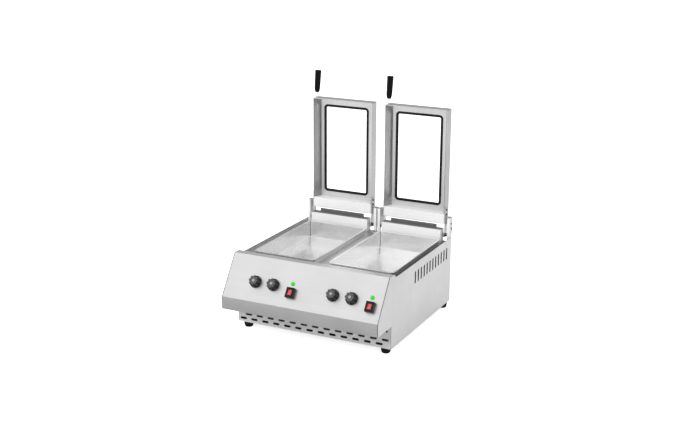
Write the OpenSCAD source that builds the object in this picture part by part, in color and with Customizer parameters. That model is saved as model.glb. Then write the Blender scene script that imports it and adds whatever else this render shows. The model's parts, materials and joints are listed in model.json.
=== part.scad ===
// Countertop electric dumpling fryer with two pans, each under its own glazed lid.
// Millimetres, +Z up, +X to the right of a cook who stands in front, +Y to the back.
// The origin is on the worktop, under the middle of the whole fryer. Both lids stand open.

/* [Pans] */
// Inside width of each pan
pan_w = 220; // [180:5:300]
// Inside length of each pan, front to back
pan_l = 388; // [320:2:460]
// Depth of each pan, from its hem down to its floor
pan_h = 60; // [45:1:100]
// Corner radius inside each pan
pan_r = 8; // [3:1:20]
// Wall of each pan
pan_wall = 1.2; // [0.8:0.1:2]
// Width of the hem that hooks over the collar
hem_w = 6; // [5.5:0.5:10]
// Height of the turned-down edge of the hem
hem_drop = 5; // [3:0.5:10]
// Clear strip of deck between the two hems
pan_gap = 47.2; // [44:0.2:80]
// Clear strip of deck between a hem and the side of the cabinet
side_margin = 24.4; // [23:0.2:60]

/* [Cabinet] */
// Sheet thickness of the cabinet
sheet = 1.2; // [0.8:0.1:1.6]
// Height of the feet
foot_h = 22; // [15:1:45]
// Diameter of a foot at the top
foot_d = 35; // [24:1:44]
// Diameter of a foot on the worktop
foot_tip_d = 28; // [20:1:44]
// Distance from a side of the cabinet to the middle of a front foot
foot_inset = 27; // [24:1:60]
// Distance from the side and the back of the cabinet to the middle of a rear foot
rear_foot_inset = 19; // [17:1:60]
// Height of the front plinth
plinth_h = 77; // [60:1:110]
// Distance from the front lip back to the plinth
plinth_inset = 101; // [60:1:112]
// Height of the upright front lip
lip_h = 43; // [20:1:60]
// Run of the sloping control panel, front to back
slope_run = 86; // [60:1:120]
// Rise of the sloping control panel
slope_rise = 126; // [110:1:160]
// Depth of the level ledge behind the slope
ledge_run = 27; // [15:1:50]
// Drop from the ledge down to the deck
ledge_drop = 29; // [20:1:45]
// Clear strip of deck between the ledge and the hems
front_gap = 51; // [30:1:90]
// Height of the collars that carry the pans
collar_h = 16; // [10:1:25]
// Distance from the lid hinge to the back of the cabinet
pivot_inset = 3; // [2:0.5:12]

// Gap between each end of the control panel and the side of the cabinet
seam = 0.9; // [0:0.1:1.5]

/* [Vents] */
// Slots in each row of the plinth
plinth_slots = 13; // [4:1:13]
// Spacing of the plinth slots
plinth_slot_pitch = 41.6; // [30:0.2:41.8]
// Length of a plinth slot
plinth_slot_l = 24; // [10:1:26]
// Height of a plinth slot
plinth_slot_h = 8; // [3:0.5:9]
// Height of the lower row above the bottom of the plinth
plinth_row_z = 13; // [9:1:20]
// Spacing of the two rows
plinth_row_pitch = 16; // [12:1:24]
// Slots in each side
side_slots = 12; // [3:1:13]
// Spacing of the side slots
side_slot_pitch = 25; // [16:0.5:28]
// Width of a side slot
side_slot_w = 9.5; // [4:0.5:10]
// Height of a side slot
side_slot_h = 42; // [20:1:60]
// Distance from the back of the cabinet to the last side slot
side_slot_inset = 42; // [25:1:80]
// Drop from the top of a side to its slots
side_slot_drop = 28; // [15:1:60]

/* [Lids] */
// Overlap of a lid past the inside of its pan
lid_lap = 5; // [3:0.5:5]
// Depth of a lid
lid_t = 38; // [26:0.1:45]
// Sheet thickness of a lid
lid_sheet = 1.2; // [0.8:0.1:1.6]
// Gap between a closed lid and the hem
seat_gap = 0.5; // [0.3:0.1:1]
// Height of the hinge above the hem
pivot_rise = 6; // [5:0.5:10]
// Distance from the hinge to the near end of a lid
hinge_reach = 39; // [30:0.5:45]
// Slant of the liner sides, measured across the lid
liner_slant = 15; // [5:1:25]
// Sheet thickness of the liner
liner_t = 1; // [0.8:0.1:1.5]
// Height of the white plate across the hinged end of a lid
cross_plate_h = 36; // [30:1:60]
// Outside width of the window seal
seal_w = 175; // [120:1:175]
// Outside length of the window seal
seal_l = 318; // [200:1:320]
// Visible width of the window seal
seal_face = 8.5; // [6:0.5:12]
// Outside corner radius of the window seal
seal_r = 14; // [13:1:25]
// Distance from the free end of a lid to the window seal
seal_inset = 25.5; // [20:0.5:40]

/* [Hinges] */
// Diameter of the hinge bolts
pivot_d = 8; // [6:0.5:10]
// Running clearance round a turning pin, on the radius
running = 0.05; // [0.02:0.01:0.1]
// Thickness of a lid arm
arm_t = 2.4; // [1.5:0.1:4]
// Width of a lid arm
arm_w = 20; // [16:1:24]
// Radius of the eye at the hinge end of an arm
eye_r = 10; // [8:0.5:12]
// Side clearance between an arm and the spacer on its bolt
arm_gap = 0.6; // [0.4:0.1:1]
// Length of the spacer between an arm and its post
spacer_l = 9; // [6:0.5:12]
// Width of a hinge post
post_w = 10; // [10:1:20]
// Height of a hinge post above the deck
post_h = 85; // [60:1:100]
// Height of the hinge box above the deck
hinge_box_h = 46; // [28:1:48]
// Length of the drip guard on the hinge box
guard_l = 174; // [80:1:200]

/* [Handles] */
// Diameter of a handle rod
rod_d = 6; // [5:0.5:8]
// Bare length of a handle rod
rod_l = 17; // [8:1:40]
// Length of a grip
grip_l = 78; // [60:1:120]
// Diameter of a grip at its far end
grip_d = 22.6; // [17:0.2:24]
// Diameter of a grip at its rod end
grip_tip_d = 15.2; // [12:0.2:16]
// Distance from the left side of a lid to its handle
handle_inset = 4.5; // [4.5:0.5:30]
// Distance from the rim of a lid to its handle
handle_depth = 20; // [18:0.5:26]
// Backward lean of an open lid's handle
handle_lean = 7; // [3:0.5:12]

/* [Controls] */
// Offset of the thermostat knobs from the middle of their pan
thermostat_x = -32; // [-60:0.2:-28]
// Offset of the timer knobs from the middle of their pan
timer_x = 33.6; // [28:0.2:40]
// Height of the knobs up the slope
knob_up = 66; // [40:0.2:90]
// Diameter of a knob
knob_d = 41; // [32:1:46]
// Height of a knob
knob_h = 20; // [15:0.5:26]
// Diameter of a spindle
spindle_d = 6; // [5:0.5:7]
// Offset of the switches from the middle of their pan
switch_x = 102.5; // [85:0.5:106]
// Offset of the lamps from the middle of their pan
lamp_x = 100; // [85:0.5:106]
// Height of the switches up the slope
switch_up = 48.5; // [30:0.5:52]
// Height of the lamps up the slope
lamp_up = 80.8; // [76:0.2:110]
// Width of a switch bezel
bezel_w = 28; // [23:1:30]
// Length of a switch bezel
bezel_l = 34; // [28:1:36]
// Height of a switch bezel
bezel_h = 13; // [9:0.5:16]
// Length of a rocker
rocker_l = 18; // [16:0.2:21]
// Width of a rocker
rocker_w = 12.5; // [8:0.5:15]
// Tilt of a rocker each way
rocker_tilt = 10; // [6:1:12]
// Diameter of a lamp lens
lamp_d = 14; // [10:0.5:18]

/* [Heating] */
// Diameter of the heating element
element_d = 8; // [6:0.5:10]
// Spacing of the runs of the heating element
element_pitch = 50; // [36:1:52]
// Distance from the middle of a pan to its clamp bars
clamp_offset = 90; // [50:1:110]

/* [Hidden] */
$fn = 48;

// Clearances
slip = 0.2;
moving_gap = 0.4;
cut = 1;

// Heights
lip_z = foot_h + plinth_h;
slope_z = lip_z + lip_h;
ledge_z = slope_z + slope_rise;
deck_z = ledge_z - ledge_drop;
hem_z = deck_z + collar_h;
pan_floor_z = hem_z - pan_h;
pan_under_z = pan_floor_z - pan_wall;
pivot_z = hem_z + pivot_rise;

// Handles and window seals
grip_round = 1.5;
seal_rear = 1.5;
grip_end_wall = 19;
rod_end_gap = 1;

// Plan
lid_w = pan_w + 2 * lid_lap;
lid_l = pan_l + 2 * lid_lap;
pan_pitch = pan_w + 2 * hem_w + pan_gap;
left_x = -pan_pitch / 2;
right_x = pan_pitch / 2;
pan_xs = [left_x, right_x];
body_w = pan_pitch + pan_w + 2 * hem_w + 2 * side_margin;
inner_w = body_w - 2 * sheet;
hem_front = slope_run + ledge_run + front_gap;
pan_mid = hem_front + hem_w + pan_l / 2;
body_d = pan_mid + lid_l / 2 + hinge_reach + pivot_inset;
grip_reach = (rod_l + grip_l - grip_round) * sin(handle_lean) + grip_d / 2 * cos(handle_lean);
rear_reach = max(handle_depth + grip_reach, lid_t + seal_rear);
overall_d = body_d - pivot_inset - pivot_rise + seat_gap + rear_reach;
front_y = -overall_d / 2;
rear_y = front_y + body_d;
pan_y = front_y + pan_mid;
plinth_y = front_y + plinth_inset;
ledge_back_y = front_y + slope_run + ledge_run;
pivot_y = rear_y - pivot_inset;
shield_gap = 15;
shield_y = ledge_back_y + shield_gap;

// Control panel slope
slope_angle = atan2(slope_run, slope_rise);
knob_xs = [for (x = pan_xs) each [x + thermostat_x, x + timer_x]];
bushing_d = spindle_d + 4;
bushing_h = 4;
nut_h = 2.5;
spindle_floor = -20;
spindle_top = knob_h - 6;
switch_body_w = bezel_w - 4;
switch_body_l = bezel_l - 4;
lamp_stem_d = lamp_d - 4;
rocker_pivot = bezel_h - 2.5;
trunnion_d = 3;
trunnion_l = 2.2;

// Lids
rim_y = pivot_y - pivot_rise + seat_gap;
lid_z = pivot_z + hinge_reach;
cavity_w = lid_w - 2 * lid_sheet;
cavity_l = lid_l - 2 * lid_sheet;
skin_y = lid_t - lid_sheet;
liner_back = skin_y - 2.7;
liner_front = lid_sheet + slip;
liner_face = liner_back - liner_t;
seal_grip = 3;
window_w = seal_w - 2 * seal_grip;
window_l = seal_l - 2 * seal_grip;
window_r = seal_r - seal_grip;
seal_web = 2;
seal_lip = 2;
seal_mid_z = lid_l - seal_inset - seal_l / 2;

// Hinges
arm_front = 1.5;
arm_x = lid_w / 2;
post_x = arm_x + arm_t + arm_gap + spacer_l;
post_lead = 8;
post_front = pivot_y - post_lead;
stop_y = rim_y + arm_front + arm_w + moving_gap;
post_back = stop_y + sheet;
post_top = deck_z + post_h;
post_reach = norm([post_back - pivot_y, post_top - pivot_z]);
arm_bolt_d = 5;
arm_bolt_head_d = 8;
arm_bolt_head_h = 2.5;
arm_bolt_end = 1;
arm_bolt_set = 6;
arm_bolt_gap = 2.5;
arm_bolt_pitch = 16;
arm_bolt_edge = 9;
arm_bolt_y = pivot_y + arm_bolt_set;
arm_bolt_low = pivot_z + post_reach + arm_bolt_head_d / 2 + arm_bolt_gap;
arm_bolt_zs = [arm_bolt_low, arm_bolt_low + arm_bolt_pitch];
arm_top_z = arm_bolt_zs[1] + arm_bolt_edge;
hinge_box_side = 3.5;
hinge_box_tail = 1;
swing_gap = 1.6;
hinge_box_w = lid_w - 2 * hinge_box_side;
hinge_box_top = deck_z + hinge_box_h;
hinge_box_back = pivot_y + hinge_box_tail;
hinge_box_run = sqrt(pow(hinge_reach - swing_gap, 2) - pow(hinge_box_top - pivot_z, 2));
hinge_box_front = pivot_y - hinge_box_run;
guard_gap = 3;
guard_top = pivot_z + hinge_reach - guard_gap;
guard_set = 3;
guard_flange = 10;
post_foot = 12;
foot_tab_y = post_front - post_foot / 2;
post_heel_set = 1;
post_heel_rise = 12;
post_stop_h = 30;
post_screw_d = 4;
post_screw_head = 7;
post_screw_head_h = 2;
post_screw_l = 8;
post_nut_d = 8;
post_nut_h = 3;
post_screw_set = 13;
post_screw_low = 46;
post_screw_pitch = 17;
post_screw_y = post_front + post_screw_set;
post_screw_zs = [deck_z + post_screw_low, deck_z + post_screw_low + post_screw_pitch];
pivot_head_d = pivot_d + 6;
pivot_head_h = 2;
pivot_nut_h = 5;
spacer_d = pivot_d + 4;
pivot_end = 1;

// Fasteners
panel_screw_d = 4;
panel_screw_head = 7;
panel_screw_head_h = 2;
panel_screw_l = 6;
plinth_screw_inset = 13.5;
plinth_screw_drop = 18;
plinth_screw_x = inner_w / 2 - plinth_screw_inset;
plinth_screw_z = lip_z - plinth_screw_drop;
plinth_flange = 8;
panel_flange = 16;
lip_flange = 26;
base_flange_inset = 25;
rear_screw_inset = 32;
rear_screw_drop = 10;
rear_screw_x = inner_w / 2 - rear_screw_inset;
rear_screw_xs = [for (i = [-1:2 / 3:1]) i * rear_screw_x];
rear_screw_z = deck_z - rear_screw_drop;
foot_setback = 4.5;
foot_front_x = body_w / 2 - foot_inset;
foot_front_y = plinth_y + foot_d / 2 + foot_setback;
foot_rear_x = body_w / 2 - rear_foot_inset;
foot_rear_y = rear_y - rear_foot_inset;
foot_places = [for (side = [-1, 1]) each [
    [side * foot_front_x, foot_front_y], [side * foot_rear_x, foot_rear_y]
]];
foot_seat_h = 9;
foot_recess_d = 12;
foot_screw_d = 5;
foot_screw_head_d = 9.5;
foot_screw_head_h = 3;
foot_nut_d = 9;
foot_nut_h = 4;

// Heating
element_z = pan_under_z - element_d / 2 - slip / 2;
element_back_inset = 45;
element_front_inset = 55;
element_cold_end = 14;
element_back_y = pan_y + pan_l / 2 - element_back_inset;
element_front_y = pan_y - pan_l / 2 + element_front_inset;
bar_z = element_z - element_d / 2 - slip / 2;
bar_t = 1.5;
bar_w = 20;
bar_inset = 5;
stud_d = 5;
stud_end = 8;
clamp_nut_d = 10;
clamp_nut_h = 4;
stud_xs = [-element_pitch, element_pitch];
clamp_ys = [pan_y - clamp_offset, pan_y + clamp_offset];

// Supply
gland_inset = 80;
gland_rise = 46;
gland_x = inner_w / 2 - gland_inset;
gland_z = foot_h + gland_rise;
gland_d = 16;
gland_bore_d = 9;
gland_hex_d = gland_d + 8;
gland_hex_h = 5;
gland_inside = 14;
gland_outside = 16;
terminal_inset = 90;
terminal_y = rear_y - terminal_inset;

// Sheet metal helpers
function unit(v) = v / norm(v);
function left_of(v) = [-v[1], v[0]];
function fold_point(path, i, t) =
    let (
        last = len(path) - 1,
        before = left_of(unit(path[max(i, 1)] - path[max(i, 1) - 1])),
        after = left_of(unit(path[min(i, last - 1) + 1] - path[min(i, last - 1)]))
    )
    path[i] + t * (before + after) / (1 + before * after);
function folded(path, t) =
    concat(path, [for (i = [len(path) - 1:-1:0]) fold_point(path, i, t)]);

// Extrudes an outline drawn in Y and Z along X, about the middle
module along_x(outline, w) {
    rotate([90, 0, 90])
        linear_extrude(w, center = true)
            polygon(outline);
}

// Flat plate in X and Y
module plate(x0, x1, y0, y1, z0, t) {
    translate([x0, y0, z0])
        cube([x1 - x0, y1 - y0, t]);
}

// Rectangle with round corners
module round_rect(w, l, r) {
    square([w - 2 * r, l], center = true);
    square([w, l - 2 * r], center = true);
    for (x = [-1, 1], y = [-1, 1])
        translate([x * (w / 2 - r), y * (l / 2 - r)])
            circle(r);
}

// Ring between two rectangles with round corners
module round_ring(w, l, r, inset, h) {
    linear_extrude(h)
        difference() {
            round_rect(w, l, r);
            round_rect(w - 2 * inset, l - 2 * inset, max(r - inset, 0.5));
        }
}

// Stands its children on the slope, with +Z out of the panel and +Y up the slope
module on_slope(x, up) {
    translate([x, front_y + up * sin(slope_angle), slope_z + up * cos(slope_angle)])
        rotate([90 - slope_angle, 0, 0])
            children();
}

// Turns +Z to face along X
module facing_x(side) {
    rotate([0, side * 90, 0])
        children();
}

// Places a lid's own frame: X across, Y into the lid from its rim, Z up from its hinged end
module in_lid(x) {
    translate([x, rim_y, lid_z])
        children();
}

// Extrudes a lid outline drawn in X and Z into the lid, from depth y
module into_lid(y, t) {
    translate([0, y + t, 0])
        rotate([90, 0, 0])
            linear_extrude(t)
                children();
}

// Hexagon nut with a hole
module hex_nut(across, h, hole) {
    difference() {
        cylinder(d = across, h = h, $fn = 6);
        translate([0, 0, -cut])
            cylinder(d = hole, h = h + 2 * cut);
    }
}

// Screw with its head on z = 0 and its shank below
module screw(head_d, head_h, shank_d, shank_l) {
    cylinder(d = head_d, h = head_h);
    translate([0, 0, -shank_l])
        cylinder(d = shank_d, h = shank_l + head_h / 2);
}

// Screw with its head under z = 0 and its shank above
module screw_down(head_d, head_h, shank_d, shank_l) {
    mirror([0, 0, 1])
        screw(head_d, head_h, shank_d, shank_l);
}

// Cabinet

module base_plate() {
    flange_h = 15;
    color("silver")
        difference() {
            union() {
                plate(-inner_w / 2, inner_w / 2, plinth_y + sheet, rear_y - sheet, foot_h, sheet);
                for (x = [-inner_w / 2, inner_w / 2 - sheet])
                    plate(x, x + sheet, plinth_y + base_flange_inset, rear_y - base_flange_inset,
                        foot_h, flange_h);
            }
            for (place = foot_places)
                translate([place[0], place[1], foot_h - cut])
                    cylinder(d = foot_screw_d + 2 * slip, h = sheet + 2 * cut);
        }
}

module plinth_slot_row(first_x, z) {
    for (i = [0:plinth_slots - 1])
        translate([first_x + i * plinth_slot_pitch, plinth_y + sheet + cut, z])
            rotate([90, 0, 0])
                linear_extrude(sheet + 2 * cut) {
                    square([plinth_slot_l - plinth_slot_h, plinth_slot_h], center = true);
                    for (side = [-1, 1])
                        translate([side * (plinth_slot_l - plinth_slot_h) / 2, 0])
                            circle(d = plinth_slot_h);
                }
}

module front_plinth() {
    row_l = (plinth_slots - 1) * plinth_slot_pitch;
    stagger = plinth_slot_pitch / 4;
    row_z = foot_h + plinth_row_z;
    foot_path = [[plinth_y, lip_z], [plinth_y, foot_h]];
    color("silver")
        difference() {
            union() {
                along_x(folded(foot_path, sheet), inner_w);
                plate(-inner_w / 2 + 10, inner_w / 2 - 10, plinth_y + sheet / 2, plinth_y + plinth_flange,
                    foot_h + sheet, sheet);
            }
            plinth_slot_row(-row_l / 2 - stagger, row_z);
            plinth_slot_row(-row_l / 2 + stagger, row_z + plinth_row_pitch);
            for (x = [-plinth_screw_x, plinth_screw_x])
                translate([x, plinth_y - cut, plinth_screw_z])
                    rotate([-90, 0, 0])
                        cylinder(d = panel_screw_d + 2 * slip, h = sheet + 2 * cut);
        }
}

module control_panel() {
    flange_y = plinth_y + sheet;
    path = [
        [flange_y, lip_z - lip_flange], [flange_y, lip_z], [front_y, lip_z], [front_y, slope_z],
        [front_y + slope_run, ledge_z], [ledge_back_y, ledge_z], [ledge_back_y, deck_z]
    ];
    color("gainsboro")
        difference() {
            along_x(folded(path, -sheet), inner_w - 2 * seam);
            for (x = knob_xs)
                on_slope(x, knob_up)
                    translate([0, 0, -sheet - cut])
                        cylinder(d = bushing_d + 2 * slip, h = sheet + 2 * cut);
            for (x = pan_xs) {
                on_slope(x + switch_x, switch_up)
                    cube([switch_body_w + 2 * slip, switch_body_l + 2 * slip, 2 * sheet + 2 * cut],
                        center = true);
                on_slope(x + lamp_x, lamp_up)
                    translate([0, 0, -sheet - cut])
                        cylinder(d = lamp_stem_d + 2 * slip, h = sheet + 2 * cut);
            }
            for (x = [-plinth_screw_x, plinth_screw_x])
                translate([x, flange_y - cut, plinth_screw_z])
                    rotate([-90, 0, 0])
                        cylinder(d = panel_screw_d + 2 * slip, h = sheet + 2 * cut);
        }
}

module side_panel(side) {
    step_run = 17;
    first_slot_y = rear_y - side_slot_inset - (side_slots - 1) * side_slot_pitch;
    outline = [
        [front_y, lip_z], [front_y, slope_z], [front_y + slope_run, ledge_z],
        [ledge_back_y + 4, ledge_z], [ledge_back_y + 4 + step_run, hem_z], [rear_y, hem_z],
        [rear_y, foot_h], [plinth_y, foot_h], [plinth_y, lip_z]
    ];
    color("lightgray")
        translate([side * (body_w - sheet) / 2, 0, 0])
            difference() {
                along_x(outline, sheet);
                for (i = [0:side_slots - 1])
                    translate([0, first_slot_y + i * side_slot_pitch,
                        hem_z - side_slot_drop - side_slot_h / 2])
                        facing_x(1)
                            translate([0, 0, -sheet])
                                linear_extrude(2 * sheet)
                                    round_rect(side_slot_h, side_slot_w, side_slot_w / 2 - 0.1);
            }
}

module rear_panel() {
    color("silver")
        difference() {
            plate(-inner_w / 2, inner_w / 2, rear_y - sheet, rear_y, foot_h, deck_z - sheet - foot_h);
            translate([gland_x, rear_y + cut, gland_z])
                rotate([90, 0, 0])
                    cylinder(d = gland_d + 2 * slip, h = sheet + 2 * cut);
            for (x = rear_screw_xs)
                translate([x, rear_y + cut, rear_screw_z])
                    rotate([90, 0, 0])
                        cylinder(d = panel_screw_d + 2 * slip, h = sheet + 2 * cut);
        }
}

module top_deck() {
    opening_w = pan_w + 2 * pan_wall + 2;
    opening_l = pan_l + 2 * pan_wall + 2;
    opening_r = pan_r + pan_wall + 1;
    color("gainsboro")
        difference() {
            union() {
                plate(-inner_w / 2, inner_w / 2, ledge_back_y - 12, rear_y, deck_z - sheet, sheet);
                plate(-inner_w / 2 + 4, inner_w / 2 - 4, rear_y - 2 * sheet, rear_y - sheet,
                    deck_z - panel_flange, panel_flange - sheet / 2);
                for (x = pan_xs)
                    translate([x, pan_y, deck_z - sheet])
                        linear_extrude(collar_h)
                            round_rect(opening_w + 2 * sheet, opening_l + 2 * sheet, opening_r + sheet);
            }
            for (x = pan_xs)
                translate([x, pan_y, deck_z - sheet - cut])
                    linear_extrude(collar_h + sheet + 2 * cut)
                        round_rect(opening_w, opening_l, opening_r);
            for (x = rear_screw_xs)
                translate([x, rear_y + cut, rear_screw_z])
                    rotate([90, 0, 0])
                        cylinder(d = panel_screw_d + 2 * slip, h = 3 * sheet + cut);
            for (x = pan_xs, side = [-1, 1])
                translate([x + side * (post_x + post_w / 2), foot_tab_y, deck_z - sheet - cut])
                    cylinder(d = panel_screw_d + 2 * slip, h = sheet + 2 * cut);
        }
}

module heat_shield() {
    color("silver")
        difference() {
            plate(-inner_w / 2 + 2, inner_w / 2 - 2, shield_y, shield_y + sheet,
                foot_h + sheet, deck_z - foot_h - 2 * sheet);
            for (x = pan_xs, side = [-1.5, 1.5])
                translate([x + side * element_pitch, shield_y - cut, element_z])
                    rotate([-90, 0, 0])
                        cylinder(d = element_d + 1, h = sheet + 2 * cut);
        }
}

// Pans and heating

module pan(x) {
    hem_out_w = pan_w + 2 * hem_w;
    hem_out_l = pan_l + 2 * hem_w;
    stud_l = pan_under_z - bar_z + bar_t + stud_end;
    color("whitesmoke")
        translate([x, pan_y, 0]) {
            difference() {
                translate([0, 0, pan_under_z])
                    linear_extrude(hem_z - pan_under_z)
                        round_rect(pan_w + 2 * pan_wall, pan_l + 2 * pan_wall, pan_r + pan_wall);
                translate([0, 0, pan_floor_z])
                    linear_extrude(pan_h + cut)
                        round_rect(pan_w, pan_l, pan_r);
            }
            translate([0, 0, hem_z - pan_wall])
                round_ring(hem_out_w, hem_out_l, pan_r + hem_w, hem_w - pan_wall / 2, pan_wall);
            translate([0, 0, hem_z - hem_drop])
                round_ring(hem_out_w, hem_out_l, pan_r + hem_w, pan_wall, hem_drop);
            for (sx = stud_xs, sy = [-clamp_offset, clamp_offset])
                translate([sx, sy, pan_under_z - stud_l])
                    cylinder(d = stud_d, h = stud_l + pan_wall / 2);
        }
}

module element_run(x, y0, y1) {
    translate([x, y1, element_z])
        rotate([90, 0, 0])
            cylinder(d = element_d, h = y1 - y0);
}

module element_bend(x, y, turn) {
    translate([x, y, element_z])
        rotate([0, 0, turn])
            rotate_extrude(angle = 180)
                translate([element_pitch / 2, 0])
                    circle(d = element_d);
}

module heating_element(x) {
    cold_end_y = shield_y - element_cold_end;
    color("dimgray") {
        for (side = [-1, 1]) {
            element_run(x + side * 1.5 * element_pitch, cold_end_y, element_back_y);
            element_run(x + side * 0.5 * element_pitch, element_front_y, element_back_y);
            element_bend(x + side * element_pitch, element_back_y, 0);
        }
        element_bend(x, element_front_y, 180);
    }
}

module heater_clamps() {
    bar_l = 4 * element_pitch - 2 * bar_inset;
    color("gray")
        for (x = pan_xs, y = clamp_ys)
            translate([x, y, bar_z - bar_t])
                difference() {
                    linear_extrude(bar_t)
                        square([bar_l, bar_w], center = true);
                    for (sx = stud_xs)
                        translate([sx, 0, -cut])
                            cylinder(d = stud_d + 2 * slip, h = bar_t + 2 * cut);
                }
}

module clamp_nuts() {
    color("gray")
        for (x = pan_xs, y = clamp_ys, sx = stud_xs)
            translate([x + sx, y, bar_z - bar_t - clamp_nut_h])
                hex_nut(clamp_nut_d, clamp_nut_h, stud_d + slip);
}

// Hinge posts and boxes

module hinge_box(x) {
    path = [
        [hinge_box_front, deck_z], [hinge_box_front, hinge_box_top],
        [hinge_box_back, hinge_box_top], [hinge_box_back, deck_z]
    ];
    color("whitesmoke")
        translate([x, 0, 0]) {
            along_x(folded(path, -sheet), hinge_box_w);
            for (side = [-1, 1])
                translate([side * (hinge_box_w - sheet) / 2, 0, 0])
                    along_x(path, sheet);
        }
}

module drip_guards() {
    guard_y = pivot_y - guard_set;
    path = [[guard_y - guard_flange, hinge_box_top], [guard_y, hinge_box_top], [guard_y, guard_top]];
    color("dimgray")
        for (x = pan_xs)
            translate([x, 0, 0])
                along_x(folded(path, sheet), guard_l);
}

// Post to the right of a lid, about the lid's middle
module hinge_post() {
    heel = rear_y - post_heel_set;
    heel_z = deck_z + post_heel_rise;
    side_outline = [
        [post_front, deck_z], [heel, deck_z], [heel, heel_z],
        [post_back, heel_z + post_back - heel], [post_back, post_top], [post_front, post_top]
    ];
    difference() {
        union() {
            for (x = [post_x + sheet / 2, post_x + post_w - sheet / 2])
                translate([x, 0, 0])
                    along_x(side_outline, sheet);
            plate(post_x, post_x + post_w, post_front, post_front + sheet, deck_z, post_h);
            plate(post_x, post_x + post_w, post_front, post_back, post_top - sheet, sheet);
            plate(post_x, post_x + post_w, post_front - post_foot, post_front + sheet, deck_z, sheet);
            plate(arm_x + moving_gap, post_x + sheet, stop_y, post_back, post_top - post_stop_h,
                post_stop_h);
        }
        translate([post_x - cut, pivot_y, pivot_z])
            facing_x(1)
                cylinder(d = pivot_d + 2 * slip, h = sheet + 2 * cut);
        for (z = post_screw_zs)
            translate([post_x + post_w - sheet - cut, post_screw_y, z])
                facing_x(1)
                    cylinder(d = post_screw_d + 2 * slip, h = sheet + 2 * cut);
        translate([post_x + post_w / 2, foot_tab_y, deck_z - cut])
            cylinder(d = panel_screw_d + 2 * slip, h = sheet + 2 * cut);
    }
}

module hinge_posts(x) {
    color("whitesmoke")
        for (side = [0, 1])
            translate([x, 0, 0])
                mirror([side, 0, 0])
                    hinge_post();
}

module pivot_bolts() {
    spacer_z = slip + arm_t + arm_gap;
    nut_z = spacer_z + spacer_l + sheet;
    color("dimgray")
        for (x = pan_xs, side = [-1, 1])
            translate([x + side * (arm_x - slip), pivot_y, pivot_z])
                facing_x(side) {
                    screw_down(pivot_head_d, pivot_head_h, pivot_d, nut_z + pivot_nut_h + pivot_end);
                    translate([0, 0, spacer_z])
                        cylinder(d = spacer_d, h = spacer_l);
                    translate([0, 0, nut_z])
                        cylinder(d = pivot_head_d, h = pivot_nut_h, $fn = 6);
                }
}

module post_screws() {
    color("dimgray")
        for (x = pan_xs, side = [-1, 1], z = post_screw_zs)
            translate([x + side * (post_x + post_w), post_screw_y, z])
                facing_x(side) {
                    screw(post_screw_head, post_screw_head_h, post_screw_d, post_screw_l);
                    translate([0, 0, -sheet - post_nut_h])
                        cylinder(d = post_nut_d, h = post_nut_h, $fn = 6);
                }
}

// Feet and screws

module feet() {
    recess_h = foot_h - foot_seat_h;
    color("black")
        for (place = foot_places)
            translate(place)
                rotate_extrude()
                    polygon([
                        [foot_recess_d / 2, 0], [foot_tip_d / 2 - 1, 0], [foot_tip_d / 2, 1],
                        [foot_d / 2, foot_h], [foot_screw_d / 2 + slip, foot_h],
                        [foot_screw_d / 2 + slip, recess_h], [foot_recess_d / 2, recess_h]
                    ]);
}

module foot_screws() {
    grip = foot_seat_h + sheet;
    color("gray")
        for (place = foot_places)
            translate([place[0], place[1], foot_h - foot_seat_h]) {
                screw_down(foot_screw_head_d, foot_screw_head_h, foot_screw_d, grip + foot_nut_h + 1);
                translate([0, 0, grip])
                    cylinder(d = foot_nut_d, h = foot_nut_h, $fn = 6);
            }
}

module panel_screw() {
    screw(panel_screw_head, panel_screw_head_h, panel_screw_d, panel_screw_l);
}

module panel_screws() {
    color("dimgray") {
        for (x = [-plinth_screw_x, plinth_screw_x])
            translate([x, plinth_y, plinth_screw_z])
                rotate([90, 0, 0])
                    panel_screw();
        for (x = rear_screw_xs)
            translate([x, rear_y, rear_screw_z])
                rotate([-90, 0, 0])
                    panel_screw();
        for (x = pan_xs, side = [-1, 1])
            translate([x + side * (post_x + post_w / 2), foot_tab_y, deck_z + sheet])
                panel_screw();
    }
}

// Controls behind the panel

// Bushing that a spindle turns in, on top of the case that its children draw
module bushing() {
    difference() {
        union() {
            children();
            translate([0, 0, -sheet - cut])
                cylinder(d = bushing_d, h = bushing_h + sheet + cut);
        }
        translate([0, 0, spindle_floor])
            cylinder(d = spindle_d + 2 * running, h = bushing_h - spindle_floor + cut);
    }
}

module thermostat_bodies() {
    case_w = 40;
    case_l = 34;
    case_h = 30;
    color("tan")
        for (x = pan_xs)
            on_slope(x + thermostat_x, knob_up)
                bushing()
                    translate([-case_w / 2, -case_l / 2, -sheet - case_h])
                        cube([case_w, case_l, case_h]);
}

module timer_bodies() {
    case_d = 44;
    case_h = 32;
    color("ivory")
        for (x = pan_xs)
            on_slope(x + timer_x, knob_up)
                bushing()
                    translate([0, 0, -sheet - case_h])
                        cylinder(d = case_d, h = case_h);
}

module bushing_nuts() {
    color("silver")
        for (x = knob_xs)
            on_slope(x, knob_up)
                hex_nut(bushing_d + 6, nut_h, bushing_d + slip);
}

module switch_housings() {
    body_h = 26;
    well_l = rocker_l + 2 * moving_gap;
    well_w = rocker_w + 2 * moving_gap;
    well_floor = rocker_pivot - rocker_l / 2 - moving_gap;
    socket_l = well_w + 2 * trunnion_l;
    color("black")
        for (x = pan_xs)
            on_slope(x + switch_x, switch_up)
                difference() {
                    union() {
                        linear_extrude(bezel_h)
                            round_rect(bezel_w, bezel_l, 1.5);
                        translate([-switch_body_w / 2, -switch_body_l / 2, -body_h])
                            cube([switch_body_w, switch_body_l, body_h + cut]);
                    }
                    translate([-well_w / 2, -well_l / 2, well_floor])
                        cube([well_w, well_l, bezel_h - well_floor + cut]);
                    translate([0, 0, rocker_pivot])
                        facing_x(1)
                            cylinder(d = trunnion_d + 2 * running, h = socket_l, center = true);
                }
}

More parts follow.
